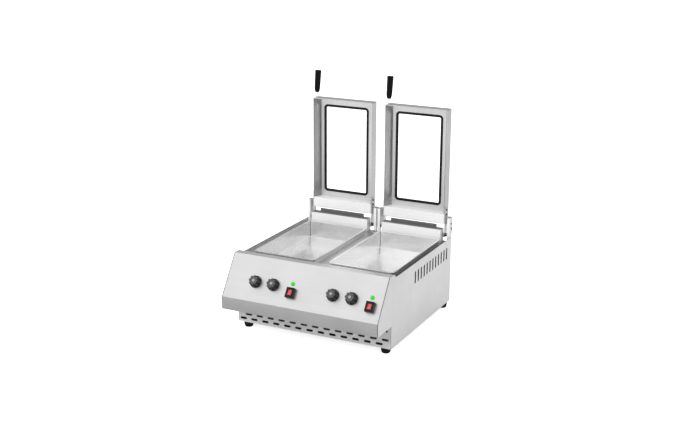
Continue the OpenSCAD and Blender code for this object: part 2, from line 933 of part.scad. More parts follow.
module lamp_bodies() {
    stem_l = 24;
    color("dimgray")
        for (x = pan_xs)
            on_slope(x + lamp_x, lamp_up) {
                translate([0, 0, -stem_l])
                    cylinder(d = lamp_stem_d, h = stem_l);
                translate([0, 0, -sheet - 3])
                    cylinder(d = lamp_stem_d + 5, h = 3, $fn = 6);
            }
}

module lamp_lenses() {
    rim_h = 1.5;
    dome_h = 4.5;
    dome_r = (pow(lamp_d / 2, 2) + pow(dome_h, 2)) / (2 * dome_h);
    color("lime")
        for (x = pan_xs)
            on_slope(x + lamp_x, lamp_up) {
                cylinder(d = lamp_d, h = rim_h);
                intersection() {
                    translate([0, 0, rim_h + dome_h - dome_r])
                        sphere(dome_r);
                    translate([0, 0, rim_h / 2])
                        cylinder(d = lamp_d, h = dome_h + rim_h);
                }
            }
}

// Supply

module terminal_block() {
    block_l = 72;
    block_w = 24;
    block_h = 20;
    ways = 6;
    way = block_l / ways;
    color("ivory")
        translate([gland_x - block_l / 2, terminal_y, foot_h + sheet])
            difference() {
                cube([block_l, block_w, block_h]);
                for (i = [0:ways - 1])
                    translate([(i + 0.5) * way, block_w / 2, block_h - 9])
                        cylinder(d = 6, h = 9 + cut);
                for (i = [1:ways - 1])
                    translate([i * way - 0.75, -cut, block_h - 5])
                        cube([1.5, block_w + 2 * cut, 5 + cut]);
            }
}

module cable_gland() {
    gland_l = gland_inside + gland_outside;
    color("black")
        translate([gland_x, rear_y, gland_z])
            rotate([-90, 0, 0])
                difference() {
                    union() {
                        for (z = [0, -sheet - gland_hex_h])
                            translate([0, 0, z])
                                cylinder(d = gland_hex_d, h = gland_hex_h, $fn = 6);
                        translate([0, 0, -gland_inside])
                            cylinder(d = gland_d, h = gland_l);
                    }
                    translate([0, 0, -gland_inside - cut])
                        cylinder(d = gland_bore_d, h = gland_l + 2 * cut);
                }
}

// Lids

module lid_outline(w, l, r) {
    translate([0, lid_l / 2])
        round_rect(w, l, r);
}

module window_outline(w, l, r) {
    translate([0, seal_mid_z])
        round_rect(w, l, r);
}

module lid_shell(x) {
    corner_r = 3;
    color("gainsboro")
        in_lid(x)
            difference() {
                into_lid(0, lid_t)
                    lid_outline(lid_w, lid_l, corner_r);
                into_lid(-cut, skin_y + cut)
                    lid_outline(cavity_w, cavity_l, corner_r - lid_sheet);
                into_lid(skin_y - cut, lid_sheet + 2 * cut)
                    window_outline(window_w, window_l, window_r);
                for (side = [-1, 1], z = arm_bolt_zs)
                    translate([side * (lid_w / 2 + cut), arm_bolt_y - rim_y, z - lid_z])
                        facing_x(-side)
                            cylinder(d = arm_bolt_d + 2 * slip, h = lid_sheet + 2 * cut);
            }
}

// Tray from its wide edge at depth y0 to its flat at depth y1, with three slanted sides and a square free end
module liner_tray(y0, y1, w, foot, top) {
    skin = 0.01;
    hull() {
        into_lid(y0, skin)
            lid_strip(w, foot, top);
        into_lid(y1 - skin, skin)
            lid_strip(w - 2 * liner_slant, foot + liner_slant, top);
    }
}

module lid_strip(w, foot, top) {
    translate([-w / 2, foot])
        square([w, top - foot]);
}

module lid_liner(x) {
    w = cavity_w - 2 * slip;
    foot = lid_sheet + slip;
    top = lid_l - lid_sheet - slip;
    color("lightgray")
        in_lid(x)
            difference() {
                liner_tray(liner_front, liner_back, w, foot, top);
                translate([0, -liner_t, 0])
                    liner_tray(liner_front, liner_back, w, foot, top - liner_t);
                into_lid(liner_face - cut, liner_t + 2 * cut)
                    window_outline(window_w, window_l, window_r);
            }
}

// Half the width between the liner's slanted sides at a depth into the lid
function liner_half(y) =
    cavity_w / 2 - slip
    - liner_slant * (y + liner_t - liner_front) / (liner_back - liner_front);

module lid_cross_plate(x) {
    shelf_back = liner_face - moving_gap;
    near_half = liner_half(lid_sheet) - moving_gap;
    far_half = liner_half(shelf_back) - moving_gap;
    color("white")
        in_lid(x) {
            translate([-cavity_w / 2 + slip, 0, lid_sheet + slip])
                cube([cavity_w - 2 * slip, lid_sheet, cross_plate_h - lid_sheet - slip]);
            translate([0, 0, cross_plate_h - lid_sheet])
                linear_extrude(lid_sheet)
                    polygon([
                        [-near_half, lid_sheet / 2], [near_half, lid_sheet / 2],
                        [far_half, shelf_back], [-far_half, shelf_back]
                    ]);
        }
}

module window_seal(x) {
    glass_w = window_w - 2 * seal_web;
    glass_l = window_l - 2 * seal_web;
    glass_r = window_r - seal_web;
    color("black")
        in_lid(x)
            difference() {
                union() {
                    into_lid(liner_face - seal_lip, seal_lip)
                        window_outline(seal_w, seal_l, seal_r);
                    into_lid(liner_face - seal_lip / 2, lid_t - liner_face + (seal_lip + seal_rear) / 2)
                        window_outline(window_w, window_l, window_r);
                    into_lid(lid_t, seal_rear)
                        window_outline(seal_w, seal_l, seal_r);
                }
                into_lid(liner_face, lid_t - liner_face)
                    window_outline(glass_w, glass_l, glass_r);
                into_lid(0, 2 * lid_t)
                    window_outline(seal_w - 2 * seal_face, seal_l - 2 * seal_face, seal_r - seal_face);
            }
}

module window_glass(x) {
    w = window_w - 2 * seal_web - 2 * slip;
    l = window_l - 2 * seal_web - 2 * slip;
    color("aliceblue", 0.4)
        in_lid(x)
            into_lid(liner_face + slip, lid_t - liner_face - 2 * slip)
                window_outline(w, l, window_r - seal_web - slip);
}

// Arm on the right side of a lid, about the lid's middle
module lid_arm() {
    strap = [
        [rim_y + arm_front, pivot_z], [rim_y + arm_front + arm_w, pivot_z],
        [rim_y + arm_front + arm_w, arm_top_z], [rim_y + arm_front, arm_top_z]
    ];
    difference() {
        translate([arm_x + arm_t / 2, 0, 0]) {
            along_x(strap, arm_t);
            translate([-arm_t / 2, pivot_y, pivot_z])
                facing_x(1)
                    cylinder(r = eye_r, h = arm_t);
        }
        translate([arm_x - cut, pivot_y, pivot_z])
            facing_x(1)
                cylinder(d = pivot_d + 2 * running, h = arm_t + 2 * cut);
        for (z = arm_bolt_zs)
            translate([arm_x - cut, arm_bolt_y, z])
                facing_x(1)
                    cylinder(d = arm_bolt_d + 2 * slip, h = arm_t + 2 * cut);
    }
}

module lid_arms(x) {
    color("silver")
        for (side = [0, 1])
            translate([x, 0, 0])
                mirror([side, 0, 0])
                    lid_arm();
}

module arm_bolts(x) {
    color("dimgray")
        for (side = [-1, 1], z = arm_bolt_zs)
            translate([x + side * (arm_x + arm_t), arm_bolt_y, z])
                facing_x(side)
                    screw(arm_bolt_head_d, arm_bolt_head_h, arm_bolt_d, arm_t + lid_sheet + arm_bolt_end);
}

// Stands its children on the free end of a lid, along the handle
module on_handle(x) {
    in_lid(x)
        translate([-lid_w / 2 + handle_inset, handle_depth, lid_l])
            rotate([-handle_lean, 0, 0])
                children();
}

module handle_rod(x) {
    collar_d = rod_d + 3;
    collar_h = 3;
    inside_grip = grip_l - grip_end_wall - rod_end_gap;
    color("silver") {
        in_lid(x)
            translate([-lid_w / 2 + handle_inset, handle_depth, lid_l])
                cylinder(d = collar_d, h = collar_h);
        difference() {
            on_handle(x)
                cylinder(d = rod_d, h = rod_l + inside_grip);
            in_lid(x)
                translate([-lid_w / 2, 0, lid_l - 2 * collar_h])
                    cube([lid_w, lid_t, 2 * collar_h]);
        }
    }
}

module handle_grip(x) {
    shoulder = grip_l * 0.2;
    shoulder_r = grip_d / 2 - 1;
    color("black")
        on_handle(x)
            translate([0, 0, rod_l])
                rotate_extrude()
                    polygon([
                        [rod_d / 2 + slip, 0], [grip_tip_d / 2 - grip_round, 0], [grip_tip_d / 2, grip_round],
                        [shoulder_r - 0.6, shoulder * 0.7], [shoulder_r, shoulder],
                        [grip_d / 2, grip_l - grip_round], [grip_d / 2 - grip_round, grip_l],
                        [0, grip_l], [0, grip_l - grip_end_wall],
                        [rod_d / 2 + slip, grip_l - grip_end_wall]
                    ]);
}

// Knobs and rockers

module control_knob(x) {
    skirt_z = 0.8;
    skirt_h = 3.5;
    lobes = 8;
    lobe_d = 9;
    lobe_at = knob_d / 2 - lobe_d / 2 - 1.5;
    recess_d = bushing_d + 10;
    bore_top = spindle_top + slip;
    color("black")
        on_slope(x, knob_up)
            difference() {
                union() {
                    translate([0, 0, skirt_z])
                        cylinder(d = knob_d, h = skirt_h);
                    translate([0, 0, skirt_z + skirt_h / 2])
                        linear_extrude(knob_h - skirt_h / 2) {
                            circle(r = lobe_at + 1);
                            for (i = [0:lobes - 1])
                                rotate(i * 360 / lobes)
                                    translate([lobe_at, 0])
                                        circle(d = lobe_d);
                        }
                }
                translate([0, 0, skirt_z - cut])
                    cylinder(d = recess_d, h = skirt_h + cut);
                cylinder(d = spindle_d + slip, h = bore_top);
            }
}

module control_spindle(x) {
    foot_z = spindle_floor + moving_gap;
    color("silver")
        on_slope(x, knob_up)
            translate([0, 0, foot_z])
                cylinder(d = spindle_d, h = spindle_top - foot_z);
}

module rocker(x) {
    rocker_r = rocker_l / 2;
    rise = rocker_r * tan(rocker_tilt);
    waist = 1.2;
    face = [
        [-rocker_r, -rocker_r - cut], [rocker_r, -rocker_r - cut],
        [rocker_r, waist + rise], [0, waist], [-rocker_r, waist + rise]
    ];
    color("red")
        on_slope(x + switch_x, switch_up)
            translate([0, 0, rocker_pivot])
                rotate([-rocker_tilt, 0, 0]) {
                    intersection() {
                        facing_x(1)
                            cylinder(r = rocker_r, h = rocker_w, center = true);
                        along_x(face, rocker_w);
                    }
                    facing_x(1)
                        cylinder(d = trunnion_d, h = rocker_w + 2 * trunnion_l, center = true);
                }
}

base_plate();
front_plinth();
control_panel();
side_panel(-1);  // left_side_panel
side_panel(1);  // right_side_panel
rear_panel();
top_deck();
heat_shield();
pan(left_x);  // left_pan
pan(right_x);  // right_pan
heating_element(left_x);  // left_heating_element
heating_element(right_x);  // right_heating_element
heater_clamps();
clamp_nuts();
hinge_box(left_x);  // left_hinge_box
hinge_box(right_x);  // right_hinge_box
drip_guards();
hinge_posts(left_x);  // left_hinge_posts
hinge_posts(right_x);  // right_hinge_posts
pivot_bolts();
post_screws();
feet();
foot_screws();
panel_screws();
thermostat_bodies();
timer_bodies();
bushing_nuts();
switch_housings();
lamp_bodies();
lamp_lenses();
terminal_block();
cable_gland();
lid_shell(left_x);  // left_lid_shell
lid_liner(left_x);  // left_lid_liner
lid_cross_plate(left_x);  // left_lid_cross_plate
window_seal(left_x);  // left_window_seal
window_glass(left_x);  // left_window_glass
lid_arms(left_x);  // left_lid_arms
arm_bolts(left_x);  // left_arm_bolts
handle_rod(left_x);  // left_handle_rod
handle_grip(left_x);  // left_handle_grip
lid_shell(right_x);  // right_lid_shell
lid_liner(right_x);  // right_lid_liner
lid_cross_plate(right_x);  // right_lid_cross_plate
window_seal(right_x);  // right_window_seal
window_glass(right_x);  // right_window_glass
lid_arms(right_x);  // right_lid_arms
arm_bolts(right_x);  // right_arm_bolts
handle_rod(right_x);  // right_handle_rod
handle_grip(right_x);  // right_handle_grip
control_knob(left_x + thermostat_x);  // left_thermostat_knob
control_spindle(left_x + thermostat_x);  // left_thermostat_spindle
control_knob(left_x + timer_x);  // left_timer_knob
control_spindle(left_x + timer_x);  // left_timer_spindle
control_knob(right_x + thermostat_x);  // right_thermostat_knob
control_spindle(right_x + thermostat_x);  // right_thermostat_spindle
control_knob(right_x + timer_x);  // right_timer_knob
control_spindle(right_x + timer_x);  // right_timer_spindle
rocker(left_x);  // left_rocker
rocker(right_x);  // right_rocker
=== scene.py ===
"""Looks of a countertop dumpling fryer: two pans side by side, each under a glazed lid.

Metres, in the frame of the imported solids: +X to the cook's right, +Y to the back, +Z up.
"""
import json
import math

import bmesh
import bpy
from mathutils import Matrix, Vector


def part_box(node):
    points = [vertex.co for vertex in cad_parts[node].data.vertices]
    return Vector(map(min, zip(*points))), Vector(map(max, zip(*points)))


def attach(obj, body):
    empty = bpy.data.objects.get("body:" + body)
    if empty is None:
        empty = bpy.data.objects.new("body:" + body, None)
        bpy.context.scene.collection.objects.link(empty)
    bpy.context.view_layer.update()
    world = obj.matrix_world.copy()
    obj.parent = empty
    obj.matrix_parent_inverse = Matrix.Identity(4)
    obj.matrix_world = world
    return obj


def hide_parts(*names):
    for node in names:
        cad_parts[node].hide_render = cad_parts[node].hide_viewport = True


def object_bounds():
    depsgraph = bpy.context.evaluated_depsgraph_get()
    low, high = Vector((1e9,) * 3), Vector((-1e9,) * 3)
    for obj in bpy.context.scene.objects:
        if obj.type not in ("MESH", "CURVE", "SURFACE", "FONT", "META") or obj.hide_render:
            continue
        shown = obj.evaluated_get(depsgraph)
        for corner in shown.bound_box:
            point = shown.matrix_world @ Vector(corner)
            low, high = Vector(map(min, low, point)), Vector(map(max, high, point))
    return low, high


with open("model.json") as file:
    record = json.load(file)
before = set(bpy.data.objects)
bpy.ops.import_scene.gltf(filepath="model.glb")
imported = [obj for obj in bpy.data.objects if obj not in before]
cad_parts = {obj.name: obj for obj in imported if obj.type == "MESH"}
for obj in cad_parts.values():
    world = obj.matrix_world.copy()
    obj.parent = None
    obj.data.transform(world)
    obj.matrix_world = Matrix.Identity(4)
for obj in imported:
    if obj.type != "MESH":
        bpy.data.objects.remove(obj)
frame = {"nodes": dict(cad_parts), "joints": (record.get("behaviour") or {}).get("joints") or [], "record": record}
cad_low, cad_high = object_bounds()
RECORD = frame["record"]
NODES = frame["nodes"]
JOINTS = {joint["name"]: joint for joint in frame["joints"]}
BODY_OF = {node: body for body, members in RECORD["behaviour"]["bodies"].items() for node in members}
SLOT_OF = {part["node"]: part["material_slot"] for part in RECORD["subparts"]}
SLOPE_OUT = -Vector(JOINTS["left_timer_turn"]["axis"])
SIDES = ("left", "right")
CONTROLS = ("thermostat", "timer")
UP = Vector((0, 0, 1))
MM = 0.001
ROUND_STEPS = 48

# Sheet
SHEET_EDGE = 0.35 * MM
PANEL_SHEET = 1.2 * MM

# Pans
PAN_WALL = 1.2 * MM
PAN_HEM = 6 * MM
PAN_HEM_DROP = 5 * MM
PAN_CORNER = 8 * MM
PAN_CORNER_LEAST = 1.5 * MM
PAN_DEPTH = 60 * MM
PAN_FILLET = 3 * MM
STUD_R = 2.5 * MM

# Window seals
SEAL_FACE = 8.5 * MM
SEAL_GRIP = 3 * MM
SEAL_CORNER = 14 * MM
SEAL_LIP = 2 * MM
SEAL_BACK = 1.5 * MM
SEAL_WEB = 2 * MM

# Handles
HANDLE_INSET = 4.5 * MM
HANDLE_DEPTH = 20 * MM
HANDLE_LEAN = math.radians(7)
ROD_LENGTH = 17 * MM
ROD_R = 3 * MM
ROD_CHAMFER = 0.5 * MM
ROD_COLLAR_R = 4.5 * MM
ROD_COLLAR = 3 * MM
ROD_INSIDE = 58 * MM
GRIP_LENGTH = 78 * MM
GRIP_R = 11.3 * MM
GRIP_TIP_R = 7.6 * MM
GRIP_BORE_R = 3.2 * MM
GRIP_BORE = 2 * MM
GRIP_NOSE = 0.22 * GRIP_LENGTH
GRIP_NOSE_ROUND = 1.2 * MM
GRIP_NOSE_STEPS = 8
GRIP_SWELL = 1 * MM
GRIP_END_ROUND = 2.4 * MM

# Knobs
KNOB_R = 20.5 * MM
KNOB_SKIRT = (0.8 * MM, 4.3 * MM)
KNOB_UNDER = 8 * MM
KNOB_BEVEL = 0.7 * MM
KNOB_TOP = 20.8 * MM
KNOB_EDGE = 1.6 * MM
KNOB_SUNK = 0.5 * MM
KNOB_LOBES = 8
KNOB_LOBE_R = 20 * MM
KNOB_LOBE_STEPS = 16
KNOB_FLUTE = 3.2 * MM
KNOB_SCALLOP = 1.6
KNOB_FACE_R = 16 * MM
KNOB_RIM = 0.8 * MM
CAP_R = 4.8 * MM

# Rockers and lamps
ROCKER_LENGTH = 18 * MM
ROCKER_WAIST = 1.2 * MM
ROCKER_TILT = math.radians(10)
MARK_BAR = (1.5 * MM, 5.2 * MM)
MARK_BAR_CORNER = 0.6 * MM
MARK_RING = (1.6 * MM, 2.7 * MM)
MARK_LEVELS = (-0.1 * MM, 0.12 * MM)
LAMP_RIM = 1.5 * MM
LAMP_BEVEL = 0.4 * MM
LAMP_DOME = 4.5 * MM

# Screws: a head is its radius and height, a nut its corner radius, height and distance under the head
SCREW_HEAD = (3.5 * MM, 2 * MM)
SCREW_SHANK_R = 2 * MM
POST_NUT = (4 * MM, 3 * MM, 1.2 * MM)
ARM_BOLT_HEAD = (4 * MM, 2.5 * MM)
ARM_BOLT_SHANK_R = 2.5 * MM
THREAD_BITE = 0.1 * MM

# Hinge bolts
BOLT_R = 4 * MM
BOLT_CHAMFER = 0.8 * MM
BOLT_HEAD_R = 7 * MM
BOLT_HEAD = 2 * MM
BOLT_SPACER = (5.2 * MM, 14.2 * MM)
BOLT_SPACER_R = 6 * MM
BOLT_SPACER_EDGE = 0.5 * MM
BOLT_NUT_FOOT = 15.4 * MM
BOLT_NUT = 5 * MM

# Cable gland
GLAND_R = 8 * MM
GLAND_BORE_R = 4.5 * MM
GLAND_NUT_R = 12 * MM
GLAND_NUT = 5 * MM
GLAND_OUTSIDE = 16 * MM
GLAND_ROUND = 2.5 * MM
GLAND_EDGE = 0.6 * MM
GLAND_RIBS = 4
GLAND_RIB_PITCH = 1.6 * MM
GLAND_GROOVE = 0.5 * MM

# Feet
FOOT_TIP_R = 14 * MM
FOOT_ROUND = 4 * MM
FOOT_RECESS_R = 6 * MM
FOOT_SEAT = 9 * MM
FOOT_HOLE_R = 2.7 * MM
FOOT_EDGE = 0.6 * MM
FOOT_GROOVES = 3
FOOT_GROOVE = 0.5 * MM

# View of the photograph
AZIMUTH = math.radians(27.001)
ELEVATION = math.radians(17.755)
LOOK_AT = Vector((-14.28 * MM, cad_low.y + 246.74 * MM, 282.7 * MM))
DISTANCE = 3.8828
IMAGE = (700, 430)
FOCAL_PX = 1175
CENTRE_PX = (328.793, 245.694)
SENSOR_MM = 36

# Studio: a card is its tone, its size and its place on the floor
FLOOR_SIZE = (60, 60)
FLOOR_TONE = 0.86
FLOOR_ROUGHNESS = 0.95
FLOOR_GAIN = 0.78
CARDS = {
    "front_card": (0.30, (1.3, 0.46), (-0.33, cad_low.y - 0.20, 1 * MM)),
    "right_card": (0.12, (1.7, 1.1), (1.75, 0.45, 1 * MM)),
}
BACK_TONE = 0.45
BACK_SPAN = (0.15, 0.8)
BACKDROP = 1.2
LIGHT_STRENGTH = 1.1
LIGHT_SPREAD = math.radians(70)
LIGHT_TILT = (math.radians(48), math.radians(-14), 0)


# Meshes

def polar_ring(radius_at, z, steps=ROUND_STEPS, start=0):
    """Ring of points round the Z axis, with its own radius at each angle."""
    ring = []
    for i in range(steps):
        angle = 2 * math.pi * (i + start) / steps
        radius = radius_at(angle)
        ring.append(Vector((radius * math.cos(angle), radius * math.sin(angle), z)))
    return ring


def circle(radius, z, steps=ROUND_STEPS):
    """Round ring of points about the Z axis."""
    return polar_ring(lambda angle: radius, z, steps)


def round_rect(width, length, radius, z, corner_steps=6):
    """Ring of points round a rectangle with round corners, about the Z axis."""
    points = []
    for corner, (sx, sy) in enumerate(((1, 1), (-1, 1), (-1, -1), (1, -1))):
        centre = Vector((sx * (width / 2 - radius), sy * (length / 2 - radius), z))
        for i in range(corner_steps + 1):
            angle = math.pi / 2 * (corner + i / corner_steps)
            points.append(centre + radius * Vector((math.cos(angle), math.sin(angle), 0)))
    return points


def loft(bm, rings, placed=Matrix(), loop=False):
    """Skin over rings of equally many points. Its two ends are closed, or joined if it is a loop."""
    rows = [[bm.verts.new(placed @ point) for point in ring] for ring in rings]
    pairs = list(zip(rows, rows[1:]))
    if loop:
        pairs.append((rows[-1], rows[0]))
    for low, high in pairs:
        for i in range(len(low)):
            j = (i + 1) % len(low)
            bm.faces.new((low[i], low[j], high[j], high[i]))
    if not loop:
        bm.faces.new(rows[0][::-1])
        bm.faces.new(rows[-1])


def lathe(bm, profile, placed=Matrix(), steps=ROUND_STEPS, loop=False):
    """Turned solid from (radius, height) pairs."""
    loft(bm, [circle(radius, z, steps) for radius, z in profile], placed, loop)


def arc(centre, radius, start, end, steps=5):
    """Points of an arc between two angles in degrees, both ends included."""
    angles = [math.radians(start + (end - start) * i / steps) for i in range(steps + 1)]
    return [(centre[0] + radius * math.cos(a), centre[1] + radius * math.sin(a)) for a in angles]


def raised(placed, height):
    """Frame moved up along its own Z axis."""
    return placed @ Matrix.Translation((0, 0, height))


def facing(place, normal, up=UP):
    """Frame at a place with +Z along a normal and +Y as near to up as it can be."""
    z = Vector(normal).normalized()
    x = up.cross(z).normalized()
    y = z.cross(x)
    return Matrix.Translation(place) @ Matrix((x, y, z)).transposed().to_4x4()


def add_piece(name, bm, material, body, replaced=(), sharp=40):
    """Turns a bmesh into a piece that rides on a body, with edges under the sharp angle shaded smooth."""
    bmesh.ops.recalc_face_normals(bm, faces=bm.faces)
    mesh = bpy.data.meshes.new(name)
    bm.to_mesh(mesh)
    bm.free()
    mesh.shade_smooth()
    mesh.set_sharp_from_angle(angle=math.radians(sharp))
    mesh.materials.append(material)
    piece = bpy.data.objects.new(name, mesh)
    bpy.context.scene.collection.objects.link(piece)
    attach(piece, body)
    if replaced:
        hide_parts(*replaced)
    return piece


def stands_for(node, bm, sharp=40, material=None):
    """Makes a bmesh the shown form of a solid, in the finish of its slot unless another is given."""
    slot = SLOT_OF[node]
    return add_piece(f"{node}_form", bm, material or MATERIALS[slot], BODY_OF[node], [node], sharp)


def solids(node):
    """Lowest and highest corner of each separate solid of a node."""
    bm = bmesh.new()
    bm.from_mesh(NODES[node].data)
    bmesh.ops.remove_doubles(bm, verts=bm.verts, dist=1e-6)
    waiting = set(bm.verts)
    found = []
    while waiting:
        reached = [waiting.pop()]
        points = []
        while reached:
            vert = reached.pop()
            points.append(vert.co.copy())
            for edge in vert.link_edges:
                other = edge.other_vert(vert)
                if other in waiting:
                    waiting.remove(other)
                    reached.append(other)
        low = Vector(min(p[axis] for p in points) for axis in range(3))
        high = Vector(max(p[axis] for p in points) for axis in range(3))
        found.append((low, high))
    bm.free()
    return sorted(found, key=lambda box: tuple(round(v, 5) for v in box[0]))


# Node groups

def feed(tree, value, socket):
    """Sets a socket to a number or a colour, or links another socket to it."""
    if isinstance(value, bpy.types.NodeSocket):
        tree.links.new(value, socket)
    else:
        socket.default_value = (*value, 1) if isinstance(value, tuple) else value


def coordinate(tree, kind="Object"):
    """Place of a point on its own piece, or the way its face looks."""
    return tree.nodes.new("ShaderNodeTexCoord").outputs[kind]


def noise(tree, vector, scale, detail):
    """Cloudy change from 0 to 1 over a vector."""
    node = tree.nodes.new("ShaderNodeTexNoise")
    node.inputs["Detail"].default_value = detail
    feed(tree, scale, node.inputs["Scale"])
    tree.links.new(vector, node.inputs["Vector"])
    return node.outputs[0]


def math_node(tree, operation, first, second=0):
    """Number worked out from one or two others."""
    node = tree.nodes.new("ShaderNodeMath")
    node.operation = operation
    feed(tree, first, node.inputs[0])
    feed(tree, second, node.inputs[1])
    return node.outputs[0]


def vector_node(tree, operation, first, second):
    """Node that works on two vectors."""
    node = tree.nodes.new("ShaderNodeVectorMath")
    node.operation = operation
    tree.links.new(first, node.inputs[0])
    tree.links.new(second, node.inputs[1])
    return node


def remap(tree, value, low, high, to_low=0, to_high=1):
    """Value stretched from one span to another, and held at its ends."""
    node = tree.nodes.new("ShaderNodeMapRange")
    feed(tree, value, node.inputs["Value"])
    feed(tree, low, node.inputs["From Min"])
    feed(tree, high, node.inputs["From Max"])
    feed(tree, to_low, node.inputs["To Min"])
    feed(tree, to_high, node.inputs["To Max"])
    return node.outputs[0]


def new_group(name, inputs, outputs):
    """Empty shader group with named sockets, and its input and output nodes."""
    group = bpy.data.node_groups.new(name, "ShaderNodeTree")
    for label, kind, default in inputs:
        socket = group.interface.new_socket(label, in_out="INPUT", socket_type=kind)
        socket.default_value = default
    for label in outputs:
        group.interface.new_socket(label, in_out="OUTPUT", socket_type="NodeSocketFloat")
    return group, group.nodes.new("NodeGroupInput"), group.nodes.new("NodeGroupOutput")


def brushed_grain():
    """Long fine scratches. Stretch holds how often they change along each axis, per metre."""
    group, entry, leave = new_group(
        "Brushed grain", [("Stretch", "NodeSocketVector", (20, 1500, 1500))], ["Scratches", "Bands"])
    stretched = vector_node(group, "MULTIPLY", coordinate(group), entry.outputs["Stretch"]).outputs[0]
    group.links.new(noise(group, stretched, 1, 3), leave.inputs["Scratches"])
    group.links.new(noise(group, stretched, 0.07, 2), leave.inputs["Bands"])
    return group


def even_noise(name, output, often, detail):
    """Change all over a piece. Often is how often it changes per metre."""
    group, entry, leave = new_group(name, [("Often", "NodeSocketFloat", often)], [output])
    group.links.new(noise(group, coordinate(group), entry.outputs["Often"], detail), leave.inputs[output])
    return group


def edge_wear():
    """Mask of the sharp edges, broken up as rubbing leaves them."""
    group, entry, leave = new_group("Edge wear", [("Width", "NodeSocketFloat", 0.8 * MM)], ["Edge"])
    rounded = group.nodes.new("ShaderNodeBevel")
    rounded.samples = 4
    group.links.new(entry.outputs["Width"], rounded.inputs["Radius"])
    true_normal = group.nodes.new("ShaderNodeNewGeometry").outputs["Normal"]
    likeness = vector_node(group, "DOT_PRODUCT", rounded.outputs[0], true_normal).outputs["Value"]
    bend = remap(group, likeness, 1.0, 0.86)
    broken = remap(group, noise(group, coordinate(group), 160, 2), 0.3, 0.6, 0.35, 1)
    group.links.new(math_node(group, "MULTIPLY", bend, broken), leave.inputs["Edge"])
    return group


def mask_along(name, output, kind, start, full, both_ways):
    """Mask that grows along an axis, from none at Start to all at Full."""
    group, entry, leave = new_group(name, [
        ("Axis", "NodeSocketVector", (1, 0, 0)), ("Start", "NodeSocketFloat", start),
        ("Full", "NodeSocketFloat", full),
    ], [output])
    dot = vector_node(group, "DOT_PRODUCT", coordinate(group, kind), entry.outputs["Axis"])
    along = dot.outputs["Value"]
    if both_ways:
        along = math_node(group, "ABSOLUTE", along)
    mask = remap(group, along, entry.outputs["Start"], entry.outputs["Full"])
    group.links.new(mask, leave.inputs[output])
    return group


GROUPS = {
    # Faces that look along an axis of their piece, either way: the mask for painted shade
    "turned": mask_along("Turned to", "Facing", "Normal", 0.6, 0.8, True),
    # What lies past a line across a piece, in metres: the mask for painted shade
    "beyond": mask_along("Beyond a line", "Beyond", "Object", 0, 0.01, False),
    "grain": brushed_grain(),
    # Slow cloudy change, as from handling and wiping
    "patches": even_noise("Soft patches", "Patches", 9, 4),
    "wear": edge_wear(),
    # Fine pebbling of moulded plastic and rubber
    "moulded": even_noise("Moulded grain", "Pebbles", 1800, 1),
}


# Materials

# Tones of sheet steel against its own: its bands, its clouds and its rubbed edges
BAND_TONES = (0.96, 1.03)
CLOUD_TONE = 0.86
RUBBED_TONE = 1.12
BRIGHTEST_SHEET = 0.97
BRIGHTEST_EDGE = 0.98
SCRATCH_DEPTH = 0.02 * MM

# Mouldings
MOTTLE = (0.85, 1.15)
PEBBLE_DEPTH = 0.05 * MM

# Grain: how often it changes along X, Y and Z, per metre
ACROSS = (14, 1500, 1500)
UPRIGHT = (1500, 1500, 14)
LENGTHWAYS = (1500, 14, 1500)
EVEN = (900, 900, 900)

# Ways that faces look
TO_SIDE = (1, 0, 0)
TO_FRONT = (0, 1, 0)
TO_TOP = (0, 0, 1)
TO_CORNER = (0.7071, -0.7071, 0)


def new_material(name):
    """Material with its node tree and its shader."""
    material = bpy.data.materials.new(name)
    material.use_nodes = True
    tree = material.node_tree
    return material, tree, tree.nodes["Principled BSDF"]


def place_group(tree, key, **values):
    """Shared node group in a material, with the material's own values."""
    node = tree.nodes.new("ShaderNodeGroup")
    node.node_tree = GROUPS[key]
    for label, value in values.items():
        node.inputs[label].default_value = value
    return node


def blend_colours(tree, mask, first, second, blend="MIX"):
    """Colour that goes from the first to the second, or to their product, as the mask goes from 0 to 1."""
    node = tree.nodes.new("ShaderNodeMix")
    node.data_type = "RGBA"
    node.blend_type = blend
    feed(tree, mask, node.inputs[0])
    feed(tree, first, node.inputs[6])
    feed(tree, second, node.inputs[7])
    return node.outputs[2]


def bump(tree, shader, height, strength, depth):
    """Fine relief from a height."""
    node = tree.nodes.new("ShaderNodeBump")
    node.inputs["Strength"].default_value = strength
    node.inputs["Distance"].default_value = depth
    tree.links.new(height, node.inputs["Height"])
    tree.links.new(node.outputs[0], shader.inputs["Normal"])


def grey(value):
    """Colour of one tone."""
    return (value, value, value)


